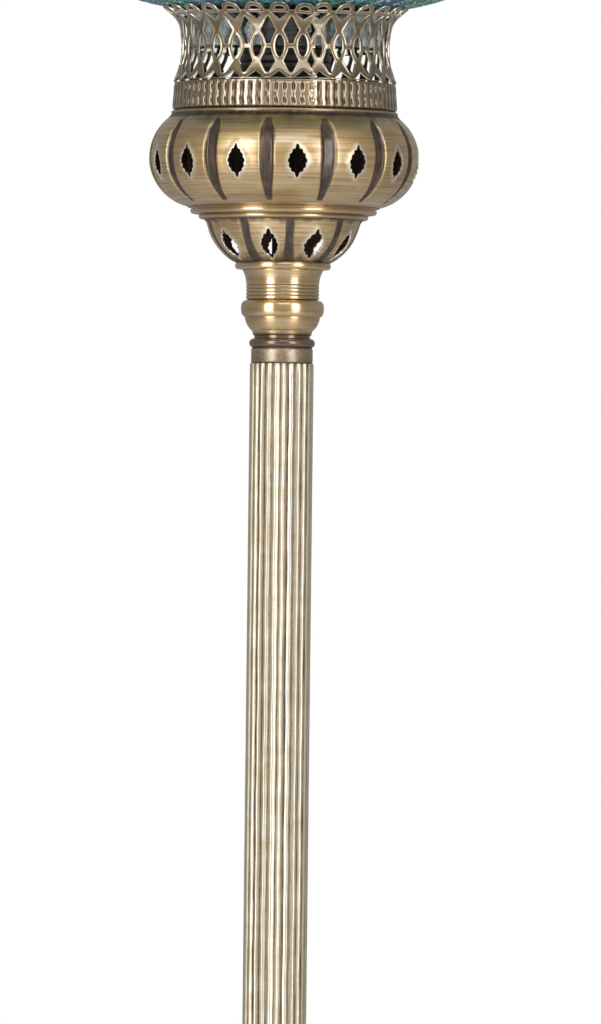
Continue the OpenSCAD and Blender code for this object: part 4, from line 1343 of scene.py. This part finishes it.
# Spun base: a rolled foot, a skirt, a domed top with pressed grooves and a raised middle
def makeBase():
    spec = spunBase
    reach, top = [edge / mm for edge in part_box("base_shell")[1].xz]
    skirt = reach - 5
    dome = reach - 11
    domeTop = top - 15
    shoulder = spec["shoulder"]
    sag = domeTop - 27
    arcR = ((dome - shoulder) ** 2 + sag ** 2) / (2 * sag)
    a0 = math.degrees(math.acos((dome - shoulder) / arcR))
    foot = [(skirt - 3.5, 2.2)] + arc(reach - 3, 4, 3, -120, 70, 12) + [
        (skirt + 0.3, 7.4), (skirt, 8.2), (skirt, 20.8), (skirt - 1.2, 22), (dome + 1.2, 22.2),
        (dome + 0.2, 22.8), (dome, 24.5),
    ]
    curved = arc(shoulder, domeTop - arcR, arcR, a0, 90, 34)
    crown = arc(shoulder, domeTop + 0.4, 2.4, 20, 150, 8)
    crown += [(62.6, domeTop + 2.6), (60.5, domeTop + 4.6), (58, domeTop + 5.6)]
    middle = [(57, domeTop + 6), (48, domeTop + 8.6), (38, domeTop + 12), (33.6, domeTop + 13.6)]
    crown += throughPoints(middle, 5)
    crown += [(32.8, top - 0.5), (32, top), (6, top)]
    profile = foot + curved + crown
    per = spec["perGroove"]
    columns = spec["grooves"] * per

    def place(column, row):
        r, z = profile[row]
        press, dark = 0, 0
        if len(foot) <= row < len(foot) + len(curved):
            across = abs((column % per) / per - 0.5) * 2 * math.pi * 59.9 / spec["grooves"]
            span = (curved[0][0] - r) / (curved[0][0] - shoulder) * 60
            press, dark = grooveAt(across, 60 - span, *spec["groove"])
        # darker along the creases of the profile
        creaseLines = (
            0.8 * smoothStep(1 - abs(z - 22.1) / 0.6) * (r < skirt - 0.8),
            0.7 * smoothStep(1 - abs(z - 7.4) / 0.7) * (r > skirt - 1),
            0.7 * smoothStep(1 - abs(r - 63.2) / 0.7),
            0.7 * smoothStep(1 - abs(r - 68.9) / 0.7),
        )
        angle = spec["first"] + 360 * (column + 0.5) / columns - 180 / spec["grooves"]
        return onRing(angle, r, (z - press) * mm), max(dark, *creaseLines)

    bm = ringStack(columns, len(profile), place)
    piece = addPiece("base_shell_spun", bm, spunBrass, "stand", ["base_shell"], 42)
    addThickness(piece, spec["wall"])


footTurnings = [
    {
        "name": "foot_flange_turned", "replaces": ["foot_flange"], "z0": baseTop, "reach": 0.6,
        "profile": [(6, 0), (28, 0), (29.3, 0.4), (30, 1.5), (30, 2.5), (29.3, 3.6), (28, 4), (6, 4)],
    },
    {
        "name": "foot_neck_turned", "replaces": ["foot_neck"], "z0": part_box("foot_neck")[0].z, "reach": 0.22,
        "profile": [(6, 0), (23.6, 0), (24, 0.5), (23.8, 1.2)]
        + throughPoints([(22.6, 1.7), (19.6, 3.8), (17.6, 6), (16.5, 8.4)], 4)
        + latheGrooves((9.4, 10.8, 12.2)) + [(16.0, 13.8), (15.2, 14), (6, 14)],
        "patinaAndShade": lambda r, z: 0.85 * smoothStep((16.05 - r) / 0.3) * (z > 8.8),
    },
    {
        "name": "foot_band_turned", "replaces": ["foot_band"], "z0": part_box("foot_band")[0].z, "reach": 0.8,
        "profile": [
            (6, 0), (16.5, 0), (17.4, 0.5), (18.1, 1.7), (18.3, 3.2), (18.3, 4.8), (18.1, 6.3), (17.4, 7.5),
            (16.5, 8), (6, 8),
        ],
    },
    {
        "name": "foot_cup_turned", "replaces": ["foot_cup"], "z0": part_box("foot_cup")[0].z,
        "profile": [(6, 0), (15.6, 0), (16.2, 0.3)] + [(r, 8 - z) for r, z in arc(6.5, 9.6, 10.1, -12, -69)]
        + [(12.2, 8), (6, 8)],
        "patinaAndShade": lambda r, z: 0.75 * smoothStep((0.9 - z) / 0.8),
    },
]
makeBase()
for spec in footTurnings:
    turnedPiece(slot="turned_brass", **spec)
print("base ready")


# Lampholder and bulb

capLow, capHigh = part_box("holder_cap")
capTall = (capHigh.z - capLow.z) / mm
gripGroove = ((0, 0), (0.5, 0.35), (0.5, 0.95), (0, 1.3))
holderTurnings = [
    {
        "name": "holder_body_moulded", "replaces": ["holder_body"], "z0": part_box("holder_body")[0].z,
        "profile": [(17.7, 0), (19.6, 0), (20, 0.5)]
        + [(20 - inset, 3 + k * 2.3 + up) for k in range(6) for inset, up in gripGroove]
        + [
            (20, 24), (19.4, 24.5), (19.4, 25.4), (20, 26), (20, 39.4), (19.4, 40.6), (18.4, 41), (15.2, 41),
            (14.5, 40.4), (14.5, 13.8), (17.7, 13.6),
        ],
        "reach": 0.25,
    },
    {
        "name": "holder_cap_moulded", "replaces": ["holder_cap"], "z0": capLow.z, "reach": 0.5,
        "profile": [
            (5.1, 0), (9, 0), (9.6, 0.4), (9.7, 1.8), (12, 2.6), (15.4, 4.6), (18.2, 7.2), (19.6, 10),
            (20, capTall - 1.6), (19.6, capTall), (17.8, capTall), (17.6, 10), (14, 6.6), (9, 4.6),
            (5.1, 4.6),
        ],
    },
]
for spec in holderTurnings:
    turnedPiece(slot="bakelite", material=blackPlastic, columns=96, **spec)

bulbCap = {
    "r": 13.1, "inside": 12.65, "pitch": 3.629, "depth": 0.38, "columns": 72, "step": 0.45, "coneTall": 3.4,
    "cone": [
        (9.8, 0), (11.4, 1.1), (12.75, 2.4), (13.0, 3.5), (12.5, 3.5), (12.2, 2.7), (11.1, 1.6), (9.8, 0.7),
    ],
}
bulb = {
    "wall": 0.8, "neck": [(12.2, 169.2), (12.4, 172.6)], "throat": [(12.7, 174), (14.4, 180), (18.8, 193)],
    "stem": [(11.2, 169.8), (10.9, 171), (6.6, 173), (5, 178), (3, 184), (2, 187), (2, 197)],
}


# Rolled screw thread: the outer wall's radius follows the right-hand helix, the inner wall is plain.
def makeBulbCap():
    spec = bulbCap
    low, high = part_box("bulb_cap")
    foot = low.z + spec["coneTall"] * mm
    rows = int((high.z - foot) / mm / spec["step"])

    def place(column, row):
        angle = 360 * column / spec["columns"]
        if row > rows:
            return onRing(angle, spec["inside"], foot + (high.z - foot) * (2 * rows + 1 - row) / rows), 0
        z = foot + (high.z - foot) * row / rows
        turn = (z - foot) / mm / spec["pitch"] - angle / 360
        wave = (0.5 - 0.5 * math.cos(2 * math.pi * turn)) * smoothStep(min(row, rows - row) / 5)
        return onRing(angle, spec["r"] - spec["depth"] * wave, z), 0

    bm = ringStack(spec["columns"], 2 * (rows + 1), place, True)
    addPiece("bulb_cap_thread", bm, nickel, "bulb", ["bulb_cap"], 50)
    turnedPiece("bulb_cap_cone", spec["cone"], "nickel", (), low.z, nickel, "bulb", 72, 0.25)


def makeBulbGlass():
    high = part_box("bulb_glass")[1]
    reach = high.x / mm
    middle = (high.z - poleTop) / mm - reach
    start = 3 - math.degrees(math.asin(14.0 / reach))
    outer = bulb["neck"] + throughPoints(bulb["throat"] + [(26.2, middle - 14.5)], 6)[1:]
    outer += arc(0, middle, reach, start, 90, 22)[:-1]
    wall = bulb["wall"]
    inner = [(r - wall * min(1, r / 2), z - (wall if r < 8 else 0)) for r, z in outer]
    top = middle + reach
    profile = [(0, top - wall)] + inner[::-1] + outer + [(0, top)]
    bm = spun(profile, poleTop, 96, False)
    addPiece("bulb_glass_blown", bm, bulbGlass, "bulb", ["bulb_glass"], 60)
    stem = [(0, 169.8)] + throughPoints(bulb["stem"], 5) + [(1.4, 198), (0, 198)]
    bm = spun(stem, poleTop, 48, False)
    addPiece("bulb_stem_glass", bm, bulbGlass, "bulb", ["bulb_stem"], 60)


filaments = {
    "rods": 4, "first": 45, "fromAxis": 3.2, "foot": 187.1, "lean": 9, "sides": 12,
    "profile": [
        (0, 0), (0.25, 0), (0.3, 1.5), (0.85, 1.7), (0.85, 31.7), (0.3, 31.9), (0.25, 33.6), (0, 33.6),
    ],
}


def makeFilaments():
    spec = filaments
    lean = math.radians(spec["lean"])
    bm = bmesh.new()
    for k in range(spec["rods"]):
        a = math.radians(spec["first"] + 360 * k / spec["rods"])
        outward = Vector((math.cos(a), math.sin(a), 0))
        side = Vector((-math.sin(a), math.cos(a), 0))
        axis = outward * math.sin(lean) + Vector((0, 0, math.cos(lean)))
        foot = outward * spec["fromAxis"] * mm + Vector((0, 0, poleTop + spec["foot"] * mm))
        line = [bm.verts.new(foot + (axis * along + side * r) * mm) for r, along in spec["profile"]]
        edges = [bm.edges.new(pair) for pair in zip(line, line[1:])]
        bmesh.ops.spin(
            bm, geom=line + edges, cent=foot, axis=axis, angle=math.tau, steps=spec["sides"], use_merge=True,
        )
    bmesh.ops.remove_doubles(bm, verts=bm.verts, dist=0.001 * mm)
    bmesh.ops.recalc_face_normals(bm, faces=bm.faces)
    addPiece("bulb_filament_rods", bm, filamentYellow, "bulb", ["bulb_filaments"], 40)


makeBulbCap()
makeBulbGlass()
makeFilaments()
print("bulb ready")


# CAD pieces that keep their shape

kept = {
    "felt_pad": greenFelt, "weight": ironBlack, "tie_tube": zincSteel, "base_washer": zincSteel,
    "base_nut": zincSteel, "cord_gland": blackRubber, "joint_nipple_1": zincSteel,
    "joint_nipple_2": zincSteel, "tray": spunBrass, "head_nipple": agedSteel, "clamp_nut": zincSteel,
    "thread_shell": nickel, "holder_insulator": porcelain, "contact_tongue": nickel,
    "terminal_screws": nickel, "bulb_tip": solder, "bulb_insulator": blackGlass,
}
for name, material in kept.items():
    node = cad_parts[name]
    node.data.materials.clear()
    node.data.materials.append(material)
